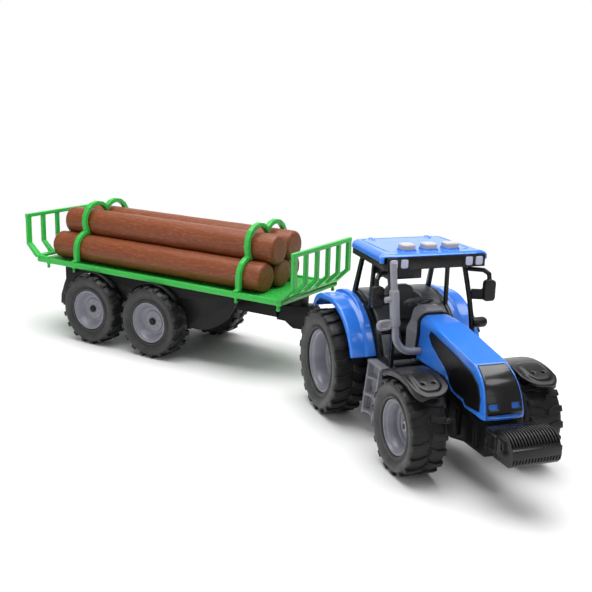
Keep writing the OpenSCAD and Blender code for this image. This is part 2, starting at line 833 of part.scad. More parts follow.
// Right rear fender: an arched shell with a turned down edge and a raised inner band
module rear_fender(side) {
    band_c = [-2.2, 40.2];
    color(blue) mirror([0, side > 0 ? 1 : 0, 0]) {
        slab(-49.6, -32.1) polygon(concat(fender_arch(0), backward(fender_arch(2))));
        slab(-50.2, -48.8) polygon(concat(fender_arch(0.5), backward(fender_arch(4))));
        // raised band in two steps
        slab(-38.6, -32.1) polygon(concat(arc([0, rear_r], rear_r + 10.5, 19, 112, 24),
                                          arc([0, rear_r], rear_r + 8.7, 112, 19, 24)));
        slab(-36.8, -32.1) polygon(concat(arc(band_c, 48.8, 42, 114, 18),
                                          arc([0, rear_r], rear_r + 8.7, 114, 45, 18)));
    }
}

module rear_fender_left() { rear_fender(1); }
module rear_fender_right() { rear_fender(-1); }

// Side line of a front fender: a flat arch with a turned down tail
function fender_line(r) =
    concat([[82.6 - (r - 58) / 3, 50]], arc([116, 8], r, 122, 62, 14));

module front_fender_plan(inset) {
    offset(delta = -inset) polygon(concat([[80, -25.4], [80, -44], [89, -48.2], [104, -50]],
        arc([133.6, -40], 10, 270, 360, 8), [[143.6, -25.4]]));
}

// Right front fender
module front_fender(side) {
    color(black) mirror([0, side > 0 ? 1 : 0, 0]) {
        difference() {
            union() {
                intersection() {
                    across(100) polygon(concat(fender_line(58), [for (i = [15 : -1 : 0]) fender_line(56)[i]]));
                    rise(40, 80) front_fender_plan(0);
                }
                // rim turned down along the edge
                intersection() {
                    across(100) polygon(concat(fender_line(57), [for (i = [15 : -1 : 0]) fender_line(53.6)[i]]));
                    rise(40, 80) difference() {
                        front_fender_plan(0);
                        front_fender_plan(1.4);
                        square_from([70, -30], [142, -20]);
                    }
                    across(100) square_from([70, 55.6], [150, 80]);
                }
                // raised pad
                intersection() {
                    across(100) polygon(concat(arc([116, 8], 59, 92, 64, 10), arc([116, 8], 57, 64, 92, 10)));
                    rise(40, 80) translate([129, -38.2]) round_rect(21, 15, 5);
                }
                // bracket to the chassis
                along(102, 112) polygon([[-12.1, 36], [-12.1, 44.4], [-25.6, 64.6], [-28.6, 64.6], [-28.6, 62.4],
                                         [-26.6, 62.4], [-15, 44]]);
            }
            for (y = [-34.6, -42]) translate([133, y, 50]) cylinder(h = 30, r = 1.1);
        }
    }
}

module front_fender_left() { front_fender(1); }
module front_fender_right() { front_fender(-1); }

// Right ladder: two rails lean outward, with a top platform and three treads
module ladder() {
    color(light_grey) {
        for (x = [43.6, 61.4]) along(x, x + 1.8)
            polygon([[-41.6, 12.6], [-37.4, 12.6], [-32.2, 51.9], [-37.4, 51.9]]);
        rise(49.8, 51.9) square_from([43.6, -38], [66, -26.8]);
        for (i = [0 : 2])
            rise(14.4 + 12 * i, 16.2 + 12 * i)
                translate([53.5, 0]) difference() {
                    square_from([-9.9, -41.2 + 1.3 * i], [9.9, -34.4 + 1.3 * i]);
                    translate([0, -52.4 + 1.3 * i]) circle(13.2);
                }
        along(43.6, 63.2) polygon([[-35.6, 12.6], [-34.4, 12.6], [-31.4, 50], [-32.6, 50]]);
    }
}

module ladders() {
    both_sides() ladder();
}

module exhaust() {
    x = 70.5;
    bend = 13;
    y = -31;
    color(rim_grey) {
        cross_rod(x, 63.6, 2.4, y + bend, -10.1);
        translate([x, y + bend, 63.6 + bend]) rotate([90, 0, -90])
            rotate([0, 0, 270]) rotate_extrude(angle = 90) translate([bend, 0]) circle(2.4, $fn = 32);
        translate([x, y, 63.6 + bend]) rotate([5, 0, 0]) {
            cylinder(h = 8.4, r = 2.4);
            translate([0, 0, 8]) cylinder(h = 1.2, r1 = 2.4, r2 = 3.3);
            translate([0, 0, 9.2]) cylinder(h = 20, r = 3.3);
            translate([0, 0, 29.2]) cylinder(h = 1.2, r1 = 3.3, r2 = 2.35);
            difference() {
                translate([0, 0, 30]) cylinder(h = 20, r = 2.35);
                translate([0, 0, 42]) cylinder(h = 10, r = 1.5);
                translate([-4, -4, 49.4]) rotate([-18, 0, 0]) cube([8, 12, 6]);
            }
            // clamp with an oval eyelet
            translate([0, 0, 5.4]) cylinder(h = 3.4, r = 3.3);
            translate([-1.4, -11.8, 4]) rotate([90, 0, 90]) linear_extrude(2.8) difference() {
                translate([4.6, 3.2]) offset(3.2, $fn = 24) square([4.4, 0.4], center = true);
                translate([4.6, 3.2]) offset(1.7, $fn = 24) square([3.4, 0.2], center = true);
            }
            translate([-1.2, -5, 5.6]) cube([2.4, 8.6, 3]);
            // peg
            translate([0, -2, 24]) rotate([90, 0, 0]) cylinder(h = 4.8, r = 2);
        }
    }
}

module mirror_part(side) {
    color(black) mirror([0, side > 0 ? 1 : 0, 0]) {
        bar([51.6, -31.7, 113.4], [58.6, -39.4, 113.6], 1.6);
        bar([58.6, -39.4, 113.6], [61.4, -42, 111.4], 1.6);
        bar([61.4, -42, 111.4], [62.6, -42.2, 105], 1.6);
        along(61, 64.8) translate([-41.8, 100.2]) round_rect(8.6, 14.8, 2.6);
        rise(93.8, 101) polygon([[57.4, -30.65], [59.4, -30.65], [63, -38], [63, -40], [61.2, -40]]);
    }
}

module mirror_left() { mirror_part(1); }
module mirror_right() { mirror_part(-1); }

// ---------- trailer ----------

module trailer_axle(x) {
    cap = trailer_rim_out - 5.4;
    color(black) translate([-x, 0, trailer_r]) {
        axle_rod(cap);
        both_sides() translate([0, cap, 0]) rotate([90, 0, 0]) cylinder(h = 1.4, r = 3, center = true);
    }
}

module trailer_rims(x) {
    for (side = [-1, 1]) wheel_at(-x, trailer_rim_out, trailer_r, side) color(rim_grey) difference() {
        rim(trailer_rim_r, trailer_w - 4, -8, -6.2);
        for (a = [30 : 60 : 330]) rotate([0, 0, a]) translate([trailer_rim_r * 0.52, 0, -8.6]) cylinder(h = 3, r = 0.8);
    }
}

module trailer_tyres(x) {
    for (side = [-1, 1]) wheel_at(-x, trailer_out, trailer_r, side)
        tyre(trailer_r, trailer_w, trailer_rim_r, lug_count - 2);
}

module trailer_axle_front() { trailer_axle(first_axle); }
module trailer_axle_rear() { trailer_axle(first_axle + axle_gap); }
module trailer_rims_front() { trailer_rims(first_axle); }
module trailer_rims_rear() { trailer_rims(first_axle + axle_gap); }
module trailer_tyres_front() { trailer_tyres(first_axle); }
module trailer_tyres_rear() { trailer_tyres(first_axle + axle_gap); }

// Side skirt with an arch over each wheel
module skirt_outline() {
    difference() {
        polygon(concat([[-284.5, deck_low], [-284.5, 52], [-288, 44], [-291, 36], [-291.5, 28]],
                       [[-150, 28], [-142, 29]],
                       arc([-136, 72], 42, 260, 338, 10), [[-92, deck_low]]));
        for (x = [first_axle, first_axle + axle_gap])
            translate([-x, trailer_r]) circle(trailer_r + 1.7);
        translate([-first_axle - axle_gap - 20, 20]) square([axle_gap + 40, 16]);
    }
}

module trailer_chassis() {
    color(black) difference() {
        union() {
            both_sides() slab(skirt_in, skirt_out) skirt_outline();
            // thin lips over the wheels
            both_sides() slab(skirt_out - 0.5, skirt_out + 7) intersection() {
                for (x = [first_axle, first_axle + axle_gap]) translate([-x, trailer_r]) difference() {
                    circle(trailer_r + 2.6);
                    circle(trailer_r + 1.7);
                }
                square_from([-300, 54], [-100, deck_low - 0.01]);
            }
            // top frame and centre beam
            difference() {
                rise(60.6, deck_low - 0.01) square_from([-284.5, -skirt_in - 0.5], [-92, skirt_in + 0.5]);
                for (x = [first_axle, first_axle + axle_gap]) both_sides()
                    rise(50, 70) square_from([-x - 18, 31.4], [-x + 18, skirt_out]);
                rise(50, 70) square_from([-166, -24], [-100, -14]);
                rise(50, 70) square_from([-166, 14], [-100, 24]);
            }
            translate([-284, -11, 44]) cube([208, 22, 17]);
            // axle blocks
            for (x = [first_axle, first_axle + axle_gap])
                slab(-27, 27) polygon([[-x - 15, 61], [-x - 6, 25.6], [-x + 6, 25.6], [-x + 15, 61]]);
            // drawbar, hitch block, tongue and eye
            slab(-5.5, 5.5) polygon([[-118, 45], [-118, 42.6], [-76, 42.6], [-76, 52.4], [-100, 55], [-118, 55]]);
            slab(-7.4, 7.4) polygon([[-78, 41], [-70, 41], [-62, 36], [-46, 36.6], [-44, 40],
                                     [-44, 52], [-48, 56.4], [-78, 52.6]]);
            rise(40.4, 46.4) hull() {
                circle(6, $fn = 40);
                square_from([-46, -6], [-44, 6]);
            }
            // upright between the drawbar and the deck's front
            slab(-6, 6) polygon([[-68, 52], [-56, 52], [-55, deck_low - 0.01], [-68, deck_low - 0.01]]);
        }
        cylinder(h = 120, r = hitch_pin_r + run_fit);
        for (x = [first_axle, first_axle + axle_gap])
            cross_rod(-x, trailer_r, axle_r + run_fit, -60, 60);
        // hollow of the block, open behind
        translate([-76, -4.6, 38]) cube([18, 9.2, 4.7]);
    }
}

module peg_places(x) {
    both_sides() translate([x, peg_y, 0]) children();
}

module deck() {
    ribs = [for (x = [deck_rear + 6 : 3 : deck_front - 6]) x];
    color(green) difference() {
        union() {
            rise(deck_low, deck_top) square_from([deck_rear, -deck_half], [deck_front, deck_half]);
            both_sides() slab(rail_in, deck_half)
                polygon([[deck_rear, rail_low], [deck_front, rail_low], [deck_front + 0.6, 66.2],
                         [deck_front, rail_top], [deck_rear, rail_top], [deck_rear - 0.6, 66.2]]);
            slab(-rail_in - 0.4, rail_in + 0.4)
                polygon(concat([[deck_rear + 4, deck_top - 0.4]],
                               [for (x = ribs) each [[x, deck_top - 0.2], [x, deck_top + 0.4],
                                                     [x + 1.2, deck_top + 0.4], [x + 1.2, deck_top - 0.2]]],
                               [[deck_front - 4, deck_top - 0.4]]));
            both_sides() for (x = [strap_front_x, strap_rear_x, deck_front - 3, deck_rear + 12])
                translate([x, peg_y, rail_low - 1.2]) cylinder(h = 3, r = 1.7);
        }
        for (x = [strap_front_x, strap_rear_x, deck_front - 3, deck_rear + 12])
            peg_places(x) translate([0, 0, 50]) cylinder(h = 30, r = peg_r + press_gap);
    }
}

module peg(low) {
    translate([0, 0, low]) cylinder(h = rail_top + 1.1 - low, r = peg_r);
    translate([0, 0, low]) cylinder(h = 1, r1 = peg_r, r2 = peg_r + 0.4);
    translate([0, 0, low + 1]) cylinder(h = 0.6, r = peg_r + 0.4);
}

// A gate at the deck's front; its foot slants outward and its uprights stand above the bend
module gate(reach, half) {
    t = 2.6;
    top = gate_top;
    foot = rail_top + 0.02;
    color(green) {
        for (i = [-5 : 2 : 5]) {
            w = abs(i) == 5 ? 5 : 3.9;
            y = i / 5 * (half - 2.5);
            slab(y - w / 2, y + w / 2)
                polygon([[-3.4, foot], [0.8, foot], [reach, gate_bend_z - 1], [reach, top],
                         [reach - t, top], [reach - t, gate_bend_z + 0.2], [-2.4, foot + 2.4]]);
        }
        slab(-half, half) polygon([[reach - t - gate_lip, top - 3], [reach + gate_lip, top - 3],
                                   [reach + gate_lip, top], [reach - t - gate_lip, top]]);
        slab(-half, half) polygon([[-4, foot], [0.8, foot], [2.6, foot + 2.2], [-3.6, foot + 2.2]]);
    }
}

module front_gate() {
    translate([deck_front, 0, 0]) gate(front_gate_reach, front_gate_half);
    color(green) peg_places(deck_front - 3) peg(59.4);
}

module rear_gate() {
    translate([deck_rear, 0, 0]) mirror([1, 0, 0]) gate(rear_gate_reach, rear_gate_half);
    color(green) peg_places(deck_rear + 12) {
        peg(59.4);
        translate([-12.4, -1.6, rail_top + 0.02]) cube([14, 3.2, 1.4]);
    }
}

// Inner outline of a strap seen from behind: snug below, standing off over the upper logs
module strap_line(gap) {
    for (s = [-1, 1]) {
        translate([s * log_pitch, log_low_z]) circle(log_r + gap);
        translate([s * log_pitch / 2, log_high_z]) circle(log_r + gap);
        translate([s * (log_pitch / 2 - 0.3), log_high_z + strap_lift]) circle(log_r + strap_slack);
    }
    square_from([-log_pitch - log_r - gap, 60], [log_pitch + log_r + gap, log_low_z]);
    polygon([[-log_pitch, log_low_z - 1], [-log_pitch, log_low_z], [-log_pitch / 2, log_high_z],
             [log_pitch / 2, log_high_z], [log_pitch, log_low_z], [log_pitch, log_low_z - 1]]);
}

module strap(x) {
    color(green) {
        along(x - strap_w / 2, x + strap_w / 2) difference() {
            offset(0.8, $fn = 16) offset(delta = strap_t - 0.8) strap_line(strap_gap);
            strap_line(strap_gap);
            square_from([-60, 40], [60, rail_top + 0.02]);
        }
        both_sides() translate([x - strap_w / 2, log_pitch + log_r + 0.4, rail_top + 0.02])
            cube([strap_w, deck_half - log_pitch - log_r - 0.6, 2]);
        peg_places(x) peg(59.4);
    }
}

module strap_front() { strap(strap_front_x); }
module strap_rear() { strap(strap_rear_x); }

// A log lying along the trailer with rounded ends
module log(y, z, front) {
    round = 3.2;
    color(brown) translate([front, y, z]) rotate([0, -90, 0])
        rotate_extrude() polygon(concat([[0, 0]], arc([log_r - round, round], round, 270, 360, 6),
            arc([log_r - round, log_l - round], round, 0, 90, 6), [[0, log_l]]));
}

module log_lower_right() { log(-log_pitch, log_low_z, -77); }
module log_lower_middle() { log(0, log_low_z, -77); }
module log_lower_left() { log(log_pitch, log_low_z, -83); }
module log_upper_right() { log(-log_pitch / 2, log_high_z, -73); }
module log_upper_left() { log(log_pitch / 2, log_high_z, -74); }

// ---------- placing ----------

// Tractor frame in the model's frame
module on_tractor() {
    translate([-origin_x, -origin_y, 0]) children();
}

// Trailer frame in the model's frame
module on_trailer() {
    on_tractor() translate([hitch_x, 0, 0]) rotate([0, 0, trailer_turn]) children();
}

on_tractor() chassis();
on_tractor() chassis_cover();
on_tractor() front_weight();
on_tractor() tow_hitch();
on_tractor() body_screws();
on_tractor() hood();
on_tractor() side_panels();
on_tractor() grille_mask();
on_tractor() cab_frame();
on_tractor() cab_tub();
on_tractor() dashboard();
on_tractor() steering_wheel();
on_tractor() roof();
on_tractor() roof_lamps();
on_tractor() button_left();
on_tractor() button_middle();
on_tractor() button_right();
on_tractor() rubber_domes();
on_tractor() circuit_board();
on_tractor() electronics_box();
on_tractor() battery_door();
on_tractor() button_cells();
on_tractor() speaker();
on_tractor() rear_fender_left();
on_tractor() rear_fender_right();
on_tractor() front_fender_left();
on_tractor() front_fender_right();
on_tractor() ladders();
on_tractor() exhaust();
on_tractor() mirror_left();
on_tractor() mirror_right();
on_tractor() gearbox_case();
on_tractor() drive_gear();
on_tractor() idler_gear();
on_tractor() flywheel();
on_tractor() rear_axle();
on_tractor() rear_rim_left();
on_tractor() rear_rim_right();
on_tractor() rear_tyre_left();
on_tractor() rear_tyre_right();
on_tractor() front_axle();
on_tractor() front_rims();
on_tractor() front_tyres();
on_trailer() trailer_chassis();
on_trailer() deck();
on_trailer() front_gate();
on_trailer() rear_gate();
on_trailer() strap_front();
on_trailer() strap_rear();
on_trailer() log_lower_right();
on_trailer() log_lower_middle();
on_trailer() log_lower_left();
on_trailer() log_upper_right();
on_trailer() log_upper_left();
on_trailer() trailer_axle_front();
on_trailer() trailer_axle_rear();
on_trailer() trailer_rims_front();
on_trailer() trailer_rims_rear();
on_trailer() trailer_tyres_front();
on_trailer() trailer_tyres_rear();
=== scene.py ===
"""Toy farm tractor and log trailer: dressed pieces, finishes, studio and camera.

Sizes are in millimetres in two local frames. The tractor's frame stands on the ground
under the rear axle, with +X forward, +Y to the left and +Z up. The trailer's frame has
its origin at the hitch pin. A piece is moved into the part's own frame, in metres, when
its mesh is made.
"""

import json
import logging
from dataclasses import dataclass, field
from enum import Enum
from math import atan2, copysign, cos, exp, hypot, inf, pi, radians, sin, sqrt
from typing import Callable, Sequence

import bmesh
import bpy
from bpy.types import Material, Mesh, Node, NodeSocket, NodeTree, Object
from mathutils import Matrix, Vector, geometry


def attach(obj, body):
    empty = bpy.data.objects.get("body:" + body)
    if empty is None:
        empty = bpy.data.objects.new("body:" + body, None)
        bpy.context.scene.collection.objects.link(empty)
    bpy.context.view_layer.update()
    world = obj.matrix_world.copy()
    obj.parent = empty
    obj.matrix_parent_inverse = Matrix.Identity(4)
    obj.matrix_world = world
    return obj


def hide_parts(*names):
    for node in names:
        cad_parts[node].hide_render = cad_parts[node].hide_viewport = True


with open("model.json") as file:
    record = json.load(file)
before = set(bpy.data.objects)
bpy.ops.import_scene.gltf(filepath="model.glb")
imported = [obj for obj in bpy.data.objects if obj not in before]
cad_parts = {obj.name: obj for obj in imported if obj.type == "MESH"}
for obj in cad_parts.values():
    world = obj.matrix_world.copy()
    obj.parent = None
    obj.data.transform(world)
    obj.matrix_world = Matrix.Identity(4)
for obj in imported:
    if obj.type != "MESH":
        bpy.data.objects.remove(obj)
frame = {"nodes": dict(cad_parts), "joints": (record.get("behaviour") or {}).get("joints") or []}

Flat = tuple[float, float]
Point = tuple[float, float, float]
Ring = list[Point]

MM = 0.001
TAU = 2 * pi
SHARP = 38.0  # degrees past which an edge stays sharp
ROUND = 180.0  # the same, for a form that has no sharp edge
BEVELLED = 32.0  # degrees past which an edge is rounded
FLAT = radians(0.6)  # angle below which a copied node's faces are merged
WELD = 3e-6  # metres below which its points are merged
MERGE = 0.002  # millimetres below which the points of a sculpted form are merged
HERE = Matrix.Identity(4)
SIDES = ("left", "right")
ENDS = ("front", "rear")
log = logging.getLogger("toy_tractor")


# ---------- outlines and paths ----------


def arc(centre: Flat, radius: float, start: float, end: float, count: int = 12) -> list[Flat]:
    """Points of an arc from one angle to another, in degrees, with that many steps between them."""
    turn = (end - start) / count
    angles = [radians(start + turn * i) for i in range(count + 1)]
    return [(centre[0] + radius * cos(a), centre[1] + radius * sin(a)) for a in angles]


def circle(centre: Flat, radius: float, count: int) -> list[Flat]:
    """Points of a whole circle, each given once."""
    angles = [TAU * i / count for i in range(count)]
    return [(centre[0] + radius * cos(a), centre[1] + radius * sin(a)) for a in angles]


def flow(points: Sequence[Flat], steps: int) -> list[Flat]:
    """A Catmull-Rom curve through the given points, with that many pieces between two of them."""
    last = len(points) - 1
    out = []
    for i in range(last):
        a, b, c, d = (points[min(max(i + k, 0), last)] for k in (-1, 0, 1, 2))
        for s in range(steps):
            t = s / steps
            out.append(tuple(
                0.5 * (2 * q + (r - p) * t + (2 * p - 5 * q + 4 * r - w) * t * t
                       + (3 * q - p - 3 * r + w) * t ** 3)
                for p, q, r, w in zip(a, b, c, d)))
    return [*out, tuple(points[-1])]


def oblong(width: float, height: float, radius: float, centre: Flat = (0, 0), steps: int = 6) -> list[Flat]:
    """A rectangle with circular corners, centred on a point."""
    x, y = width / 2 - radius, height / 2 - radius
    out: list[Flat] = []
    for cx, cy, start in ((x, y, 0), (-x, y, 90), (-x, -y, 180), (x, -y, 270)):
        out += arc((centre[0] + cx, centre[1] + cy), radius, start, start + 90, steps)
    return out


def blend(a: float, b: float, t: float) -> float:
    """A smooth step of t between a and b, from 0 to 1."""
    u = min(max((t - a) / (b - a), 0), 1)
    return u * u * (3 - 2 * u)


class Plane(Enum):
    """The plane that a flat outline is drawn in, and so the way that it is extruded."""

    XZ = "side"
    YZ = "end"

    def lift(self, p: Flat, depth: float) -> Point:
        """The point of the outline at a depth along the plane's normal axis."""
        if self is Plane.XZ:
            return (p[0], depth, p[1])
        return (depth, p[0], p[1])


# ---------- meshes ----------


class Sculpt:
    """Collects faces in a local frame, in millimetres, and turns them into one mesh."""

    def __init__(self) -> None:
        """Starts with no faces."""
        self.bm = bmesh.new()

    def faces(self, points: Sequence[Point], faces: Sequence[Sequence[int]]) -> "Sculpt":
        """Adds faces on the given points."""
        verts = [self.bm.verts.new(p) for p in points]
        for face in faces:
            ids = list(dict.fromkeys(face))
            if len(ids) > 2:
                self.bm.faces.new([verts[i] for i in ids])
        return self

    def prism(self, outline: Sequence[Flat], low: float, high: float, plane: Plane) -> "Sculpt":
        """Extrudes an outline between two depths."""
        n = len(outline)
        caps = geometry.tessellate_polygon([[Vector((*p, 0)) for p in outline]])
        points = [plane.lift(p, low) for p in outline] + [plane.lift(p, high) for p in outline]
        faces = [list(c) for c in caps] + [[i + n for i in reversed(c)] for c in caps]
        faces += [[i, (i + 1) % n, (i + 1) % n + n, i + n] for i in range(n)]
        return self.faces(points, faces)

    def loft(self, rings: Sequence[Ring], closed: bool = False) -> "Sculpt":
        """Joins rings of equal length.

        Args:
            rings: The rings, in order.
            closed: Whether the last ring joins the first; otherwise both are filled.
        """
        k = len(rings[0])
        points = [p for ring in rings for p in ring]
        faces = []
        for i in range(len(rings) if closed else len(rings) - 1):
            a, b = i * k, (i + 1) % len(rings) * k
            faces += [[a + j, a + (j + 1) % k, b + (j + 1) % k, b + j] for j in range(k)]
        if not closed:
            faces += [list(range(k))[::-1], list(range((len(rings) - 1) * k, len(rings) * k))]
        return self.faces(points, faces)

    def spin(self, profile: Sequence[Flat], segments: int = 96, centre: Point = (0, 0, 0)) -> "Sculpt":
        """Revolves a closed profile of (radius, y) about the Y axis through a centre."""
        rings = []
        for i in range(segments):
            a = TAU * i / segments
            rings.append([(centre[0] + r * cos(a), centre[1] + y, centre[2] + r * sin(a))
                          for r, y in profile])
        return self.loft(rings, closed=True)

    def move(self, matrix: Matrix) -> "Sculpt":
        """Transforms all that has been collected so far."""
        bmesh.ops.transform(self.bm, matrix=matrix, verts=self.bm.verts)
        if matrix.determinant() < 0:
            bmesh.ops.reverse_faces(self.bm, faces=self.bm.faces)
        return self

    def mesh(self, name: str, place: Matrix) -> Mesh:
        """Welds, turns the faces outwards, places and returns the mesh."""
        bmesh.ops.remove_doubles(self.bm, verts=self.bm.verts, dist=MERGE)
        bmesh.ops.recalc_face_normals(self.bm, faces=self.bm.faces)
        bmesh.ops.transform(self.bm, matrix=place, verts=self.bm.verts)
        out = bpy.data.meshes.new(name)
        self.bm.to_mesh(out)
        self.bm.free()
        return out


def smooth(mesh: Mesh, angle: float = SHARP) -> None:
    """Shades a mesh smooth, with sharp edges past an angle in degrees."""
    mesh.polygons.foreach_set("use_smooth", [True] * len(mesh.polygons))
    mesh.set_sharp_from_angle(angle=radians(angle))


def link(mesh: Mesh, name: str) -> Object:
    """Puts a mesh into the scene as an object at the origin."""
    obj = bpy.data.objects.new(name, mesh)
    bpy.context.scene.collection.objects.link(obj)
    return obj


def settled(obj: Object) -> Object:
    """Turns an object with modifiers into one with a plain mesh and no modifiers."""
    graph = bpy.context.evaluated_depsgraph_get()
    mesh = bpy.data.meshes.new_from_object(obj.evaluated_get(graph))
    obj.modifiers.clear()
    obj.data = mesh
    return obj


def round_edges(obj: Object, width: float, segments: int = 2) -> Object:
    """Rounds an object's edges to a width in millimetres, and returns it with a plain mesh."""
    mod = obj.modifiers.new("Rounded edges", "BEVEL")
    mod.width, mod.segments = width * MM, segments
    mod.limit_method, mod.angle_limit = "ANGLE", radians(BEVELLED)
    mod.miter_outer, mod.use_clamp_overlap = "MITER_ARC", True
    return settled(obj)


# ---------- Geometry Nodes ----------


class Graph:
    """A node tree that is built node by node."""

    prefix = "ShaderNode"

    def __init__(self, tree: NodeTree) -> None:
        """Takes the tree that the nodes go into."""
        self.tree = tree

    def feed(self, node: Node, **inputs: object) -> Node:
        """Sets or links a node's inputs: each by its name, with _ for a space, or by _ and its number."""
        for key, value in inputs.items():
            socket = node.inputs[int(key[1:])] if key[0] == "_" else node.inputs[key.replace("_", " ")]
            if isinstance(value, NodeSocket):
                self.tree.links.new(value, socket)
            else:
                socket.default_value = value
        return node

    def node(self, kind: str, settings: dict[str, object] | None = None, **inputs: object) -> Node:
        """Adds a node of a kind, named without the tree's prefix, with its own settings and its inputs."""
        made = self.tree.nodes.new(kind if kind.startswith("Shader") else self.prefix + kind)
        for key, value in (settings or {}).items():
            setattr(made, key, value)
        return self.feed(made, **inputs)

    def maths(self, operation: str, *values: object) -> NodeSocket:
        """What a Math node makes of up to three values or sockets."""
        inputs = {f"_{i}": value for i, value in enumerate(values)}
        return self.node("ShaderNodeMath", {"operation": operation}, **inputs).outputs[0]


class Tree(Graph):
    """A Geometry Nodes tree that takes and returns one geometry."""

    prefix = "GeometryNode"

    def __init__(self, name: str) -> None:
        """Starts the tree with its ends."""
        super().__init__(bpy.data.node_groups.new(name, "GeometryNodeTree"))
        for way in ("INPUT", "OUTPUT"):
            self.tree.interface.new_socket("Geometry", in_out=way, socket_type="NodeSocketGeometry")
        self.start = self.tree.nodes.new("NodeGroupInput")
        self.end = self.tree.nodes.new("NodeGroupOutput")

    def ask(self, name: str, kind: str) -> NodeSocket:
        """Adds a named input and returns the socket that carries it."""
        self.tree.interface.new_socket(name, in_out="INPUT", socket_type="NodeSocket" + kind)
        return self.start.outputs[name]

    def finish(self, made: NodeSocket) -> NodeTree:
        """Ends the tree in Realize Instances and Set Material."""
        real = self.node("RealizeInstances", Geometry=made).outputs[0]
        dressed = self.node("SetMaterial", Geometry=real, Material=self.ask("Material", "Material"))
        self.feed(self.end, _0=dressed.outputs[0])
        return self.tree


def ring_tree() -> NodeTree:
    """A tree that sets copies of an object round the Y axis and adds them to its geometry."""
    tree = Tree("Ring of copies")
    copy, count, turn = tree.ask("Copy", "Object"), tree.ask("Count", "Int"), tree.ask("Turn", "Float")
    points = tree.node("Points", Count=count).outputs[0]
    step = tree.maths("DIVIDE", TAU, count)
    angle = tree.maths("MULTIPLY_ADD", tree.node("InputIndex").outputs[0], step, turn)
    spin = tree.node("ShaderNodeCombineXYZ", Y=angle).outputs[0]
    form = tree.node("ObjectInfo", Object=copy).outputs["Geometry"]
    copies = tree.node("InstanceOnPoints", Points=points, Instance=form, Rotation=spin)
    join = tree.node("JoinGeometry", _0=tree.start.outputs["Geometry"])
    return tree.finish(tree.feed(join, _0=copies.outputs[0]).outputs[0])


def bark_tree() -> NodeTree:
    """A tree that raises bark ridges on a log that lies along the X axis."""
    tree = Tree("Bark ridges")
    depth, stretch, seed = tree.ask("Depth", "Float"), tree.ask("Grain", "Vector"), tree.ask("Seed", "Float")
    here = tree.node("InputPosition").outputs[0]
    scaled = tree.node("ShaderNodeVectorMath", {"operation": "MULTIPLY"}, _0=here, _1=stretch).outputs[0]
    grain = tree.node("ShaderNodeTexNoise", {"noise_dimensions": "4D"}, Vector=scaled, W=seed, Scale=1.0,
                      Detail=3.0, Roughness=0.6).outputs["Fac"]
    height = tree.maths("MULTIPLY", tree.maths("SUBTRACT", grain, 0.5), depth)
    out = tree.node("InputNormal").outputs[0]
    push = tree.node("ShaderNodeVectorMath", {"operation": "SCALE"}, Vector=out, Scale=height).outputs[0]
    moved_out = tree.node("SetPosition", Geometry=tree.start.outputs["Geometry"], Offset=push)
    return tree.finish(moved_out.outputs[0])


def grow(host: Object, tree: NodeTree, **inputs: object) -> Object:
    """Runs a tree on an object and keeps the result as its plain mesh.

    Args:
        host: The object whose geometry the tree takes.
        tree: The tree.
        inputs: Values for the tree's named inputs.

    Returns:
        The host, with the result as its mesh and no modifier.
    """
    mod = host.modifiers.new(tree.name, "NODES")
    mod.node_group = tree
    for item in tree.interface.items_tree:
        if item.in_out == "INPUT" and item.name in inputs:
            mod[item.identifier] = inputs[item.name]
    bpy.context.view_layer.update()
    return settled(host)


# ---------- finishes ----------


class Shader(Graph):
    """A node material under construction."""

    def __init__(self, name: str) -> None:
        """Starts with a Principled shader and its output."""
        self.material = bpy.data.materials.new(name)
        self.material.use_nodes = True
        super().__init__(self.material.node_tree)
        self.tree.nodes.clear()
        self.surface = self.node("BsdfPrincipled")
        self.out = self.node("OutputMaterial", _0=self.surface.outputs[0])
        self.where = self.node("TexCoord").outputs["Object"]

    def set(self, **inputs: object) -> None:
        """Sets or feeds the Principled shader's sockets by name."""
        self.feed(self.surface, **inputs)

    def noise(self, size: float, detail: float = 2, rough: float = 0.5,
              where: NodeSocket | None = None) -> NodeSocket:
        """A noise value whose features are about the given size in millimetres."""
        made = self.node("TexNoise", Vector=where or self.where, Scale=1 / (size * MM), Detail=detail,
                         Roughness=rough)
        return made.outputs["Fac"]

    def spread(self, value: NodeSocket, low: float, high: float, start: float = 0.3,
               end: float = 0.7) -> NodeSocket:
        """Maps a value between start and end onto low to high."""
        return self.node("MapRange", Value=value, From_Min=start, From_Max=end, To_Min=low,
                         To_Max=high).outputs[0]

    def tint(self, share: NodeSocket, a: Sequence[float] | NodeSocket, b: Sequence[float]) -> NodeSocket:
        """Mixes two colours by a share."""
        first = a if isinstance(a, NodeSocket) else (*a, 1)
        return self.node("Mix", {"data_type": "RGBA"}, Factor=share, _6=first, _7=(*b, 1)).outputs[2]

    def bumps(self, *layers: tuple[NodeSocket, float]) -> None:
        """Stacks bump layers, each a height and its depth in millimetres, on the surface."""
        below: dict[str, NodeSocket] = {}
        for height, depth in layers:
            made = self.node("Bump", Height=height, Distance=depth * MM, Strength=1.0, **below)
            below = {"Normal": made.outputs[0]}
        self.set(**below)

    def edges(self, radius: float) -> NodeSocket:
        """A mask that is 1 along the form's edges, within a radius in millimetres."""
        bevel = self.node("Bevel", {"samples": 6}, Radius=radius * MM)
        true = self.node("NewGeometry").outputs["Normal"]
        dot = self.node("VectorMath", {"operation": "DOT_PRODUCT"}, _0=bevel.outputs[0], _1=true)
        return self.node("MapRange", Value=dot.outputs["Value"], From_Min=0.98, From_Max=0.8, To_Min=0.0,
                         To_Max=1.0).outputs[0]


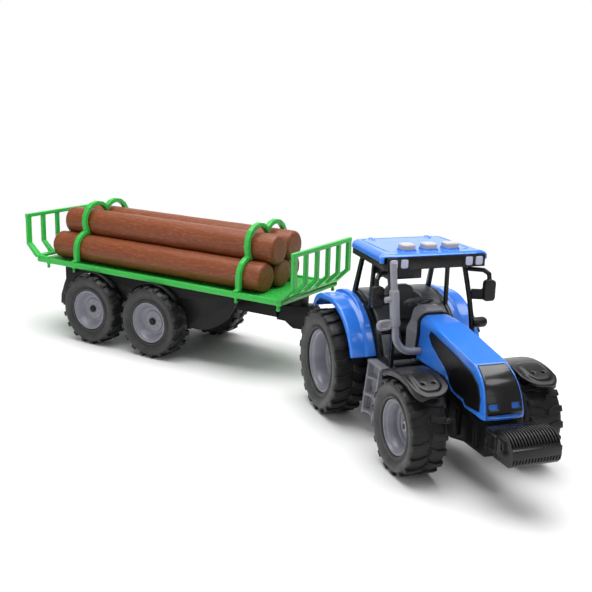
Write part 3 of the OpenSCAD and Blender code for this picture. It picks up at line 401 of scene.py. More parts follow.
@dataclass(frozen=True)
class Plastic:
    """Injection-moulded plastic: faint flow marks, fine grain and light handling wear."""

    name: str
    colour: tuple[float, float, float]
    rough: float = 0.3
    grain: float = 0.01
    grain_size: float = 0.5
    flow: float = 0.06
    wear: float = 0.0
    worn: tuple[float, float, float] = (0.4, 0.4, 0.42)
    coat: float = 0.0
    glow: float = 0.0
    specks: float = 0.03
    shine: float = 0.5

    def build(self) -> Material:
        """Makes the material."""
        s = Shader(self.name)
        drift = s.spread(s.noise(26, 3), 0, self.flow)
        colour = s.tint(drift, self.colour, tuple(min(1, c * 1.25 + 0.02) for c in self.colour))
        fine = s.noise(2.2, 4, 0.6)
        specks = s.spread(fine, 0, self.specks, 0.55, 0.8)
        colour = s.tint(specks, colour, self.worn)
        if self.wear:
            rubbed = s.maths("MULTIPLY", s.edges(0.5), s.spread(s.noise(3.5, 3), 0, self.wear, 0.35, 0.65))
            colour = s.tint(rubbed, colour, self.worn)
        rough = s.spread(s.noise(9, 4, 0.65), self.rough * 0.82, min(1, self.rough * 1.22))
        s.set(Base_Color=colour, Roughness=rough, Coat_Weight=self.coat, Coat_Roughness=0.06, IOR=1.5,
              Subsurface_Weight=self.glow, Subsurface_Scale=0.002, Specular_IOR_Level=self.shine)
        s.bumps((s.noise(14, 2), 0.02), (s.noise(self.grain_size, 3, 0.6), self.grain))
        return s.material


@dataclass(frozen=True)
class Rubber:
    """Soft tyre vinyl: near black, with a grey on the side walls that is partly dust and partly painted
    sheen.
    """

    name: str
    colour: tuple[float, float, float] = (0.007, 0.007, 0.0072)
    # grey of the side walls: partly dust, partly painted sheen
    wall_dust_and_sheen: tuple[float, float, float] = (0.085, 0.085, 0.086)
    rough: float = 0.5

    def build(self) -> Material:
        """Makes the material. The attribute "wall" is 1 on the side walls and 0 on the tread."""
        s = Shader(self.name)
        wall = s.node("Attribute", {"attribute_name": "wall"}).outputs["Fac"]
        cloud = s.spread(s.noise(12, 4, 0.6), 0.45, 1.0)
        # the side walls are tinted towards a grey that is partly dust and partly painted sheen
        colour = s.tint(s.maths("MULTIPLY", wall, cloud), self.colour, self.wall_dust_and_sheen)
        # painted highlight: the tyre's edges are tinted light grey where their glints would be
        edge_sheen = s.maths("MULTIPLY", s.edges(0.35), s.spread(s.noise(2.5, 3), 0.0, 0.5, 0.4, 0.7))
        colour = s.tint(edge_sheen, colour, (0.1, 0.1, 0.1))
        rough = s.spread(s.noise(5, 4, 0.6), self.rough - 0.08, self.rough + 0.1)
        s.set(Base_Color=colour, Roughness=rough, Sheen_Weight=0.04, Sheen_Roughness=0.5, IOR=1.5,
              Specular_IOR_Level=0.35)
        s.bumps((s.noise(6, 2), 0.03), (s.noise(0.35, 3, 0.6), 0.012))
        return s.material


@dataclass(frozen=True)
class BarkPlastic:
    """Brown plastic of a log: long bark lines, paler where the ridges are rubbed."""

    name: str
    colour: tuple[float, float, float]
    pale: tuple[float, float, float]
    turn: float
    length: float = 7.0

    def build(self) -> Material:
        """Makes the material, with its grain along the logs."""
        s = Shader(self.name)
        along = s.node("Mapping", {"vector_type": "POINT"}, Vector=s.where, Rotation=(0, 0, -self.turn))
        thin = s.node("Mapping", Vector=along.outputs[0], Scale=(1 / self.length, 1, 1)).outputs[0]
        lines = s.noise(1.1, 4, 0.62, thin)
        broad = s.noise(9, 3, 0.55, thin)
        rubbed = s.spread(lines, 0.0, 0.55, 0.5, 0.72)
        colour = s.tint(s.spread(broad, 0, 0.35), self.colour, tuple(c * 0.72 for c in self.colour))
        colour = s.tint(rubbed, colour, self.pale)
        scratch = s.spread(s.noise(0.7, 2, 0.5, thin), 0, 0.75, 0.64, 0.76)
        colour = s.tint(scratch, colour, tuple(min(1, c * 1.5) for c in self.pale))
        s.set(Base_Color=colour, Roughness=s.spread(broad, 0.36, 0.5), IOR=1.48, Specular_IOR_Level=0.4)
        s.bumps((broad, 0.12), (lines, 0.07), (s.noise(0.4, 2), 0.01))
        return s.material


@dataclass(frozen=True)
class Plated:
    """Bright metal with fine turning marks and faint tarnish."""

    name: str
    colour: tuple[float, float, float] = (0.6, 0.6, 0.62)
    rough: float = 0.25

    def build(self) -> Material:
        """Makes the material."""
        s = Shader(self.name)
        colour = s.tint(s.spread(s.noise(6, 4), 0, 0.35), self.colour, tuple(c * 0.7 for c in self.colour))
        fine = s.node("Mapping", Vector=s.where, Scale=(1, 0.1, 1)).outputs[0]
        s.set(Base_Color=colour, Metallic=1.0, IOR=1.5,
              Roughness=s.spread(s.noise(1.5, 4, 0.6), self.rough, self.rough + 0.15))
        s.bumps((s.noise(0.2, 2, 0.5, fine), 0.006))
        return s.material


@dataclass(frozen=True)
class Resist:
    """Green coating of a circuit board, with copper tracks that show as raised lines."""

    name: str

    def build(self) -> Material:
        """Makes the material."""
        s = Shader(self.name)
        cells = s.node("TexVoronoi", {"feature": "DISTANCE_TO_EDGE", "distance": "MANHATTAN"},
                       Vector=s.where, Scale=1 / (4 * MM)).outputs[0]
        track = s.spread(cells, 1, 0, 0.04, 0.09)
        colour = s.tint(track, (0.01, 0.12, 0.04), (0.03, 0.3, 0.1))
        s.set(Base_Color=colour, Roughness=s.spread(s.noise(3), 0.2, 0.35), IOR=1.5)
        s.bumps((track, 0.05), (s.noise(0.5), 0.01))
        return s.material


class Paint(Enum):
    """The finishes: the record's material slot, and a word where one slot has two finishes."""

    BLUE = "blue_body"
    BLACK = "chassis_black"
    CHASSIS = "chassis_black matt"
    GLOSS = "gloss_black"
    PANEL = "gloss_black satin"
    CAB = "cab_grey"
    GREY = "light_grey"
    RIM = "rim_grey"
    PIPE = "rim_grey bright"
    TYRE = "tyre_rubber"
    GREEN = "green_body"
    STRAP = "green_strap"
    LOG = "log_brown"
    LAMP = "lamp_white"
    BUTTON = "button_grey"
    STEEL = "steel"
    ZINC = "flywheel_metal"
    GEAR = "gear_white"
    BOARD = "board_green"
    DOME = "silicone"
    CONE = "speaker_black"

    @property
    def slot(self) -> str:
        """The record's material slot."""
        return self.value.partition(" ")[0]


def paints(turn: float) -> dict[Paint, Material]:
    """Builds every finish.

    Args:
        turn: The angle that the trailer stands at, in radians, which its logs' grain follows.
    """
    finishes = {
        Paint.BLUE: Plastic("Blue gloss plastic", (0.028, 0.2, 0.8), rough=0.22, grain=0.004, coat=0.35),
        Paint.BLACK: Plastic("Black satin plastic", (0.006, 0.006, 0.007), rough=0.29, grain=0.001,
                             wear=0.08, worn=(0.06, 0.06, 0.06), specks=0, shine=0.36),
        Paint.GLOSS: Plastic("Black gloss plastic", (0.006, 0.006, 0.007), rough=0.2, grain=0.002, coat=0.3,
                             specks=0.012),
        Paint.PANEL: Plastic("Black satin panel", (0.005, 0.005, 0.0055), rough=0.33, grain=0.001, wear=0.05,
                             worn=(0.03, 0.03, 0.03), specks=0, shine=0.3),
        Paint.CHASSIS: Plastic("Black chassis plastic", (0.004, 0.004, 0.0045), rough=0.42, grain=0.002,
                               wear=0.05, worn=(0.03, 0.03, 0.03), specks=0, shine=0.22),
        Paint.PIPE: Plastic("Exhaust grey plastic", (0.29, 0.29, 0.33), rough=0.32, wear=0.4,
                            worn=(0.5, 0.5, 0.55)),
        Paint.CAB: Plastic("Dark grey cab plastic", (0.085, 0.09, 0.1), rough=0.33, wear=0.55,
                           worn=(0.3, 0.3, 0.31)),
        Paint.GREY: Plastic("Light grey plastic", (0.25, 0.25, 0.285), rough=0.34, wear=0.3,
                            worn=(0.55, 0.55, 0.58)),
        Paint.RIM: Plastic("Rim grey plastic", (0.225, 0.225, 0.265), rough=0.32, wear=0.4,
                           worn=(0.5, 0.5, 0.55), coat=0.15),
        Paint.TYRE: Rubber("Tyre vinyl"),
        Paint.GREEN: Plastic("Green plastic", (0.036, 0.48, 0.068), rough=0.3, wear=0.25, glow=0.05,
                             specks=0.015, shine=0.4),
        Paint.STRAP: Plastic("Green strap vinyl", (0.034, 0.45, 0.064), rough=0.36, glow=0.08, shine=0.4),
        Paint.LOG: BarkPlastic("Bark plastic", (0.2, 0.05, 0.016), (0.36, 0.125, 0.05), turn),
        Paint.LAMP: Plastic("Lamp plastic", (0.56, 0.57, 0.72), rough=0.18, grain=0.004, coat=0.4, glow=0.15),
        Paint.BUTTON: Plastic("Button plastic", (0.5, 0.48, 0.48), rough=0.5, wear=0.2, shine=0.35),
        Paint.STEEL: Plated("Plated steel"),
        Paint.ZINC: Plated("Cast zinc", (0.42, 0.42, 0.43), 0.42),
        Paint.GEAR: Plastic("White gear plastic", (0.78, 0.77, 0.72), rough=0.4),
        Paint.BOARD: Resist("Board coating"),
        Paint.DOME: Plastic("Silicone", (0.7, 0.68, 0.62), rough=0.5, glow=0.3),
        Paint.CONE: Plastic("Speaker plastic", (0.02, 0.02, 0.02), rough=0.6),
    }
    return {key: finish.build() for key, finish in finishes.items()}


def joint(name: str) -> dict:
    """The frame's joint of that name."""
    return next(j for j in frame["joints"] if j["name"] == name)


class Workshop:
    """Knows where the two local frames stand, holds the finishes and keeps finished pieces."""

    def __init__(self) -> None:
        """Reads the places from the frame's joints and builds the finishes."""
        rear = Vector(joint("rear_wheels_roll")["pos_m"])
        hitch = Vector(joint("trailer_hitch")["pos_m"])
        across = Vector(joint("trailer_front_roll")["axis"])
        self.turn = atan2(-across.x, across.y)
        self.tractor = Matrix.Translation((rear.x, rear.y, 0))
        self.trailer = Matrix.Translation((hitch.x, hitch.y, 0)) @ Matrix.Rotation(self.turn, 4, "Z")
        self.paints = paints(self.turn)
        self.ring, self.bark = ring_tree(), bark_tree()
        self.made = 0

    def centre(self, name: str, trailer: bool = False) -> Vector:
        """A joint's place in one of the local frames, in millimetres."""
        place = self.trailer if trailer else self.tractor
        return place.inverted() @ Vector(joint(name)["pos_m"]) / MM

    def keep(self, obj: Object, body: str, paint: Paint, *nodes: str) -> Object:
        """Finishes a piece: its material, the body it rides on and the nodes it stands for.

        Args:
            obj: The piece.
            body: The body that it moves with.
            paint: Its finish, unless its mesh has materials already.
            nodes: The CAD nodes that it replaces.
        """
        if not [m for m in obj.data.materials if m]:
            obj.data.materials.clear()
            obj.data.materials.append(self.paints[paint])
        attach(obj, body)
        if nodes:
            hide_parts(*nodes)
        self.made += 1
        log.info("%s rides on %s, %d faces", obj.name, body, len(obj.data.polygons))
        return obj

    def shape(self, name: str, sculpt: Sculpt, place: Matrix = HERE, edge: float = 0,
              shade: float = SHARP) -> Object:
        """Makes an object of a sculpted form.

        Args:
            name: The piece's name.
            sculpt: The form, in millimetres.
            place: The local frame that it stands in.
            edge: Width of its rounded edges, in millimetres.
            shade: Angle past which an edge stays sharp, in degrees.
        """
        mesh = sculpt.mesh(name, place @ Matrix.Scale(MM, 4))
        smooth(mesh, shade)
        obj = link(mesh, name)
        return round_edges(obj, edge) if edge else obj

    def copied(self, name: str, node: str, edge: float, segments: int = 2) -> Object:
        """A welded copy of a CAD node with rounded edges.

        Args:
            name: The piece's name.
            node: The CAD node.
            edge: Width of the rounded edges, in millimetres, or 0 for none.
            segments: Pieces in each rounded edge.
        """
        bm = bmesh.new()
        bm.from_mesh(frame["nodes"][node].data)
        bmesh.ops.remove_doubles(bm, verts=bm.verts, dist=WELD)
        bmesh.ops.dissolve_limit(bm, angle_limit=FLAT, verts=bm.verts, edges=bm.edges)
        mesh = bpy.data.meshes.new(name)
        bm.to_mesh(mesh)
        bm.free()
        mesh.materials.clear()
        smooth(mesh)
        obj = link(mesh, name)
        if edge:
            obj = round_edges(obj, edge, segments)
            smooth(obj.data)
        return obj

    def moulded(self, name: str, node: str, grid: float, rounds: int,
                place: Matrix | None = None, carve: Callable[[Vector], Vector] | None = None,
                swell: float = 0) -> Object:
        """A soft-edged moulding of a CAD node: an even net over its skin, then relaxed.

        Args:
            name: The piece's name.
            node: The CAD node.
            grid: Size of the net, in millimetres.
            rounds: How often the net is relaxed; more rounds give wider edge rounds.
            place: The local frame that carve works in.
            carve: Moves a point of the net, in millimetres in the local frame.
            swell: How far the relaxed skin is let out again, in millimetres.
        """
        obj = self.copied(name, node, 0)
        net = obj.modifiers.new("Even net", "REMESH")
        net.mode, net.voxel_size, net.adaptivity = "VOXEL", grid * MM, 0
        relax = obj.modifiers.new("Relaxed", "SMOOTH")
        relax.factor, relax.iterations = 0.5, rounds
        if swell:
            let_out = obj.modifiers.new("Let out", "DISPLACE")
            let_out.strength, let_out.mid_level = swell * MM, 0
        obj = settled(obj)
        if carve:
            back = place.inverted()
            for v in obj.data.vertices:
                v.co = place @ (carve((back @ v.co) / MM) * MM)
        smooth(obj.data, ROUND)
        return obj

    def cast(self, node: str, body: str, paint: Paint, *how: float, **more: object) -> None:
        """Keeps a moulding of a node, made as the rest of the arguments tell moulded()."""
        self.keep(self.moulded(node + "_piece", node, *how, **more), body, paint, node)

    def ringed(self, body: Object, one: Object, paint: Paint, count: int, turn: float) -> Object:
        """Adds copies of a form round a body's Y axis, the first at a turn in radians; the form goes."""
        out = grow(body, self.ring, Copy=one, Count=count, Turn=turn, Material=self.paints[paint])
        bpy.data.objects.remove(one)
        return out


def moved(obj: Object, place: Matrix, shade: float) -> Object:
    """Moves a local object's mesh to its place and shades it."""
    obj.data.transform(place)
    smooth(obj.data, shade)
    return obj


def shift(x: float, y: float, z: float) -> Matrix:
    """A move given in millimetres, as a matrix in metres."""
    return Matrix.Translation(Vector((x, y, z)) * MM)


def joined(objects: Sequence[Object], name: str) -> Object:
    """Several objects as one mesh object."""
    bm = bmesh.new()
    for obj in objects:
        bm.from_mesh(obj.data)
    mesh = bpy.data.meshes.new(name)
    bm.to_mesh(mesh)
    bm.free()
    for material in objects[0].data.materials:
        mesh.materials.append(material)
    for obj in objects:
        bpy.data.objects.remove(obj)
    return link(mesh, name)


# ---------- wheels ----------


@dataclass
class WheelPair:
    """A pair of lugged tyres on dished rims, on one axle.

    The base wheel's frame has its axis along Y, with the outer plane of the tyre at
    y = 0 and outboard along +Y; the right wheel is the same moulding turned over.
    """

    name: str
    body: str
    centre: Vector
    place: Matrix
    radius: float
    width: float
    outer: float
    rim_outer: float
    rim_radius: float
    rim_floor: float
    hub: float
    lugs: int
    bolt_holes: int = 0
    # share of the side walls' grey, which is partly dust and partly painted sheen
    dust_and_sheen: float = 0.95
    nodes: tuple[tuple[str, ...], tuple[str, ...]] = ((), ())
    split: bool = False
    lug_height: float = field(init=False)
    wall: float = field(init=False)

    def __post_init__(self) -> None:
        """Sizes that follow from the radius."""
        self.lug_height = self.radius * 0.046
        self.wall = self.radius * 0.92

    def carcass(self) -> Sculpt:
        """The tyre without its lugs."""
        w, bead, tread = self.width, self.rim_radius, self.radius - self.lug_height
        by_bead = ((0, -3.6), (0.15, -2.3), (0.7, -1.5), (1.5, -1.35), (2.2, -1.9), (3.1, -2.1), (4.3, -1.5))
        by_wall = ((-3.4, -0.05), (-1.5, -0.1), (-0.3, -0.8))
        side = [*((bead + a, y) for a, y in by_bead), ((bead + self.wall) / 2 + 0.6, -0.55),
                *((self.wall + a, y) for a, y in by_wall), (tread - 0.5, -2.3), (tread, -4.4)]
        outer = flow(side, 3)
        inner = [(a, -w - y) for a, y in reversed(outer)]
        return Sculpt().spin(outer + [(tread + 0.1, -w / 2)] + inner, 120)

    def lug(self) -> Sculpt:
        """One lug at angle zero: slanted on the tread, square on the shoulder, all within the radius."""
        r, w = self.radius, self.width
        base, half, slant = r - self.lug_height - 0.8, r * 0.0675, r * 0.074  # slant is at the shoulder
        stations = [  # across the tread, top radius, foot radius, foot across, half width, slant share
            (-0.462 * w, r - 0.35, base, -0.475 * w, 0.92, 0.0),
            (-0.44 * w, r - 0.08, base, -0.45 * w, 0.98, 0.1),
            (-0.255 * w, r, base, -0.255 * w, 1.0, 0.97),
            (-0.225 * w, r, base, -0.225 * w, 1.0, 1.0),
            (-2.6, r, base - 0.3, -4.2, 1.0, 1.0),
            (-1.15, r - 0.05, base - 1.0, -3.0, 1.0, 1.0),
            (-0.6, r - 0.55, self.wall - 0.9, -1.8, 0.98, 1.0),
            (-0.32, self.wall + 0.5, self.wall - 1.6, -0.9, 0.96, 1.0),
        ]
        rings = []
        for y, top, foot, foot_y, wide, lean in stations:
            s, h = slant * lean, half * wide
            corners = ((top, y, s - h * 0.94), (top, y, s + h * 0.94),
                       (foot, foot_y, s + h * 1.04), (foot, foot_y, s - h * 1.04))
            rings.append([(sqrt(far * far - along * along), y, along) for far, y, along in corners])
        return Sculpt().loft(rings)

    def centre_bar(self) -> Sculpt:
        """One of the small bars along the middle of the tread."""
        foot, half = self.radius - self.lug_height, 0.42
        near, far = -0.467 * self.width, -0.533 * self.width
        outline = [(near, -half), (far, -half), (far, half), (near, half)]
        return Sculpt().prism(outline, foot - 0.5, foot + 0.6, Plane.YZ)

    def tyre(self, shop: Workshop) -> Object:
        """The whole tyre in the base wheel's frame, with its "wall" attribute.

        The attribute is full on a side wall, and fades over the first millimetres of the
        tyre's width and towards the tread.
        """
        tyre = self.lugged(shop)
        wall = tyre.data.attributes.new("wall", "FLOAT", "POINT")
        values = []
        for v in tyre.data.vertices:
            r = hypot(v.co.x, v.co.z) / MM
            depth = min(-v.co.y, v.co.y + self.width * MM) / MM
            # the side wall's share of dust and painted sheen at this point
            values.append(blend(3.4, 0.9, depth) * blend(self.radius * 0.945, self.wall - 1.4, r) * self.dust_and_sheen)
        wall.data.foreach_set("value", values)
        return tyre

    def lugged(self, shop: Workshop) -> Object:
        """The carcass with both rows of lugs and the middle bars."""
        tyre = shop.shape(self.name, self.carcass())
        over = Matrix.Translation((0, -self.width, 0)) @ Matrix.Scale(-1, 4, (0, 1, 0))
        for name, form, edge, count, turn in (  # edge round in millimetres, first angle in radians
                ("outer lug", self.lug(), 0.22, self.lugs, 0.0),
                ("inner lug", self.lug().move(over), 0.22, self.lugs, pi / self.lugs),
                ("centre bar", self.centre_bar(), 0.12, self.lugs * 6, 0.03)):
            tyre = shop.ringed(tyre, shop.shape(name, form, edge=edge), Paint.TYRE, count, turn)
        return tyre

    def stepped(self) -> list[Flat]:
        """The face of a tractor rim, as (radius, depth): hub, ringed disc, barrel and lip."""
        boss = ((0.15, -0.2), (0.2, -0.5), (0.235, -1.4))
        disc = ((0.25, 1.4), (0.27, 1.15), (0.41, 1.15), (0.43, 0.9), (0.445, 0.1), (0.47, 0), (0.58, 0),
                (0.605, 0.3), (0.625, 1.3), (0.65, 1.5), (0.71, 1.55), (0.735, 2.0), (0.76, 4.2))
        lip = ((0.835, -3.1), (0.86, -2.2), (0.885, -1.9), (0.905, -1.5), (0.92, -0.5), (0.94, -0.08))
        return [(2.0, self.hub - 0.2), *self.shares(boss, self.hub), *self.shares(disc, self.rim_floor),
                (self.rim_radius * 0.8, self.rim_floor * 0.42), *self.shares(lip), *self.rounded_lip()]

    def dish(self) -> list[Flat]:
        """The face of a trailer rim, as (radius, depth): a bolted disc, a plain barrel and a thin lip."""
        r, floor = self.rim_radius, self.rim_floor
        disc = ((0.2, 1.75), (0.24, 1.25), (0.44, 1.15), (0.5, 1.05), (0.525, 0.8), (0.545, 0.15),
                (0.575, 0), (0.63, 0.12), (0.68, 0.6), (0.73, 1.7))
        lip = ((0.895, -1.5), (0.915, -1.2), (0.925, -0.35), (0.94, -0.05))
        return [(3.05, floor + 1.8), *self.shares(disc, floor), (r * 0.79, floor * 0.55),
                (r * 0.85, floor * 0.32), *self.shares(lip), *self.rounded_lip()]

    def shares(self, points: Sequence[Flat], base: float = 0) -> list[Flat]:
        """Points given as shares of the rim's radius and heights over a depth."""
        return [(self.rim_radius * share, base + height) for share, height in points]

    def rounded_lip(self) -> list[Flat]:
        """The last points of both faces, over the lip's edge."""
        return [*self.shares(((0.965, 0.0), (0.985, -0.25))), (self.rim_radius - 0.05, -0.9)]

    def rim(self, shop: Workshop) -> Object:
        """The dished rim in a frame whose outer plane is at y = 0."""
        r, floor, deep = self.rim_radius, self.rim_floor, self.width - 4
        face = self.dish() if self.bolt_holes else self.stepped()
        barrel, behind = r - 1.9, floor - 1.8
        back = [(r - 0.05, -deep), (barrel, -deep), (barrel, behind), (2.0, behind)]
        rim = shop.shape(self.name + ".rim", Sculpt().spin(face + back, 96), shade=30)
        if self.bolt_holes:
            hole = ((0.05, 1.0), (0.55, 1.0), (0.75, 1.5), (1.0, 1.5), (1.05, 1.1), (1.05, 0.6), (0.05, 0.6))
            recess = Sculpt().spin([(a, floor + y) for a, y in hole], 14, (r * 0.335, 0, 0))
            rim = shop.ringed(rim, shop.shape("bolt recess", recess), Paint.RIM, self.bolt_holes, 0.2)
        return rim

    def side(self, outer: float, side: int) -> Matrix:
        """The place of a wheel with its outer plane at that distance on a side."""
        turned = Matrix.Rotation(pi, 4, "X") if side < 0 else HERE
        c = self.centre
        return self.place @ shift(c.x, side * outer, c.z) @ turned

    def build(self, shop: Workshop) -> None:
        """Makes the pair's tyres and rims, and keeps them."""
        tyre, rim = self.tyre(shop), self.rim(shop)
        for base, outer, paint, kind, nodes, shade in (
                (tyre, self.outer, Paint.TYRE, "tyre", self.nodes[0], 40),
                (rim, self.rim_outer, Paint.RIM, "rim", self.nodes[1], 30)):
            pair = []
            for side, word in zip((1, -1), SIDES):
                one = link(base.data.copy(), f"{self.name} {kind} {word}".replace(" ", "_"))
                pair.append(moved(one, self.side(outer, side), shade))
            bpy.data.objects.remove(base)
            if self.split:
                for one, node in zip(pair, nodes):
                    shop.keep(one, self.body, paint, node)
            else:
                shop.keep(joined(pair, f"{self.name}_{kind}s"), self.body, paint, *nodes)


def wheel_pairs(shop: Workshop) -> list[WheelPair]:
    """The four wheel pairs of the tractor and the trailer."""
    rear, front = shop.centre("rear_wheels_roll"), shop.centre("front_wheels_roll")
    pairs = [
        WheelPair("rear_wheel", "rear_wheels", rear, shop.tractor, radius=38, width=25, outer=58.5,
                  rim_outer=55.4, rim_radius=23.4, rim_floor=-13, hub=-8, lugs=20, split=True,
                  nodes=(("rear_tyre_left", "rear_tyre_right"), ("rear_rim_left", "rear_rim_right"))),
        WheelPair("front_wheel", "front_wheels", front, shop.tractor, radius=30.4, width=24.5, outer=52.7,
                  rim_outer=50.1, rim_radius=18, rim_floor=-10, hub=-6, lugs=18,
                  nodes=(("front_tyres",), ("front_rims",))),
    ]
    for word in ENDS:
        pairs.append(WheelPair(
            f"trailer_{word}_wheel", f"trailer_wheels_{word}", shop.centre(f"trailer_{word}_roll", True),
            shop.trailer, radius=30.8, width=20.5, outer=53.6, rim_outer=52.4, rim_radius=17.5, rim_floor=-8,
            # the trailer's side walls get less of the dust and painted sheen
            hub=-6.2, lugs=18, bolt_holes=8, dust_and_sheen=0.5,
            nodes=((f"trailer_tyres_{word}",), (f"trailer_rims_{word}",))))
    return pairs


# ---------- load ----------


@dataclass
class Log:
    """A log of the load: a stout round bar with bark ridges and rough, rounded ends."""

    name: str
    across: float
    height: float
    front: float
    seed: float
    radius: float = 12.15
    length: float = 228.0
    end_round: float = 3.2
    sides: int = 84
    step: float = 1.6
    ridge: float = 0.75
    grain: Point = (55.0, 430.0, 430.0)

    def profile(self) -> list[Flat]:
        """Stations of (distance from the front end, radius), from the front's middle to the rear's."""
        flat = self.radius - self.end_round
        cap = [(0.0, flat * k / 7) for k in range(1, 8)]
        turn = [(self.end_round * (1 - cos(radians(a))),
                 flat + self.end_round * sin(radians(a))) for a in (18, 36, 54, 72, 90)]
        count = round((self.length - 2 * self.end_round) / self.step)
        side = [(self.end_round + (self.length - 2 * self.end_round) * k / count, self.radius)
                for k in range(1, count)]
        front = cap + turn
        return front + side + [(self.length - d, r) for d, r in reversed(front)]

    def form(self) -> Sculpt:
        """The smooth bar, closed to a point in the middle of each end."""
        middle = (self.across, self.height)
        return Sculpt().loft([[(self.front - distance, *p) for p in circle(middle, r, self.sides)]
                              for distance, r in self.profile()])

    def build(self, shop: Workshop) -> None:
        """Makes the log, raises its bark and keeps it."""
        obj = shop.shape(self.name + "_piece", self.form())
        obj = grow(obj, shop.bark, Depth=self.ridge * MM, Grain=self.grain, Seed=self.seed,
                   Material=shop.paints[Paint.LOG])
        shop.keep(moved(obj, shop.trailer, 60), "trailer", Paint.LOG, self.name)


def log_stack() -> list[Log]:
    """The five logs: three below and two above."""
    pitch, low, high = 24.65, 79.25, 100.7
    return [
        Log("log_lower_right", -pitch, low, -77, 1.3),
        Log("log_lower_middle", 0, low, -77, 4.1),
        Log("log_lower_left", pitch, low, -83, 7.7),
        Log("log_upper_right", -pitch / 2, high, -73, 10.2),
        Log("log_upper_left", pitch / 2, high, -74, 13.9),
    ]


# ---------- bodywork ----------


@dataclass
class Nose:
    """The hood with its mask: both mouldings swell forward in plan, as the nose does."""

    half: float = 13.7
    swell: float = 1.0
    start: float = 139.0
    full: float = 150.0
    lip: float = 48.8
    lip_fade: float = 2.5
    line: tuple[Flat, ...] = ((112, 80.3), (132, 76.8), (139, 75.6), (144.5, 72.6), (150, 68), (154, 62.2),
                              (156.7, 55), (158, 49.4), (158, 46.7))
    steps: int = 8

    def __post_init__(self) -> None:
        """The smooth line through the corners of the nose's side line."""
        self.curve = flow(self.line, self.steps)

    def eased(self, x: float, z: float) -> Flat:
        """How far the smooth side line stands off the cornered one at its point nearest to (x, z)."""
        best, move = inf, (0.0, 0.0)
        for i, ((ax, az), (bx, bz)) in enumerate(zip(self.line, self.line[1:])):
            ux, uz = bx - ax, bz - az
            t = min(max(((x - ax) * ux + (z - az) * uz) / (ux * ux + uz * uz), 0), 1)
            px, pz = ax + ux * t, az + uz * t
            gap = (x - px) ** 2 + (z - pz) ** 2
            if gap < best:
                k = t * self.steps
                j = min(int(k), self.steps - 1)
                (cx, cz), (dx, dz) = self.curve[i * self.steps + j], self.curve[i * self.steps + j + 1]
                best, move = gap, (cx + (dx - cx) * (k - j) - px, cz + (dz - cz) * (k - j) - pz)
        return move

    def swollen(self, p: Vector) -> Vector:
        """A point of the nose, moved forward most in the middle and not at all at the sides."""
        across = max(0.0, 1 - (p.y / self.half) ** 2)
        share = across * blend(self.start, self.full, p.x) * blend(self.lip, self.lip + self.lip_fade, p.z)
        if p.x < self.line[1][0] or p.z < self.lip:
            return p
        dx, dz = self.eased(p.x, p.z)
        return p + Vector((self.swell * share + dx, 0, dz))

    def build(self, shop: Workshop) -> None:
        """Makes and keeps the hood, its side panels and its mask."""
        for node, paint, grid, rounds in (("hood", Paint.BLUE, 0.5, 9), ("grille_mask", Paint.GLOSS, 0.35, 7),
                                          ("side_panels", Paint.PANEL, 0.35, 5)):
            shop.cast(node, "tractor", paint, grid, rounds, place=shop.tractor, carve=self.swollen)


@dataclass
class Roof:
    """The sound roof, with a frame line engraved round its top behind the buttons."""

    middle: float = 29.4
    length: float = 47.5
    width: float = 61.5
    corner: float = 5.75
    top: float = 127.8
    below: float = 0.8
    above: float = 0.3
    depth: float = 0.5
    spread: float = 0.42
    gap_start: float = 43.7
    gap_half: float = 24.8
    round: float = 9.0
    front: float = 0.0
    side: float = 0.0

    def away(self, x: float, y: float) -> float:
        """Distance of a plan point from the frame line."""
        dx = abs(x - self.middle) - self.length / 2 + self.corner
        dy = abs(y) - self.width / 2 + self.corner
        outside = hypot(max(dx, 0), max(dy, 0))
        return abs(outside + min(max(dx, dy), 0) - self.corner)

    def engraved(self, p: Vector) -> Vector:
        """A point of the roof, sunk where the frame line runs."""
        clear = p.x > self.gap_start and abs(p.y) < self.gap_half
        p = self.cornered(p)
        if p.z < self.top - self.below or p.z > self.top + self.above or clear:
            return p
        line = exp(-(self.away(p.x, p.y) / self.spread) ** 2)
        return p - Vector((0, 0, self.depth * line))

    def cornered(self, p: Vector) -> Vector:
        """A point of the roof, drawn in where it is near a front corner."""
        u, v = p.x - self.front + self.round, abs(p.y) - self.side + self.round
        if u <= 0 or v <= 0:
            return p
        k = (u ** 4 + v ** 4) ** 0.25 / hypot(u, v) - 1
        return p + Vector((u * k, copysign(v * k, p.y), 0))

    def build(self, shop: Workshop) -> None:
        """Makes and keeps the roof."""
        back = shop.tractor.inverted()
        corners = [(back @ v.co) / MM for v in frame["nodes"]["roof"].data.vertices]
        self.front, self.side = max(p.x for p in corners), max(p.y for p in corners)
        shop.cast("roof", "tractor", Paint.BLUE, grid=0.42, rounds=7, place=shop.tractor, carve=self.engraved)


# ---------- fittings ----------


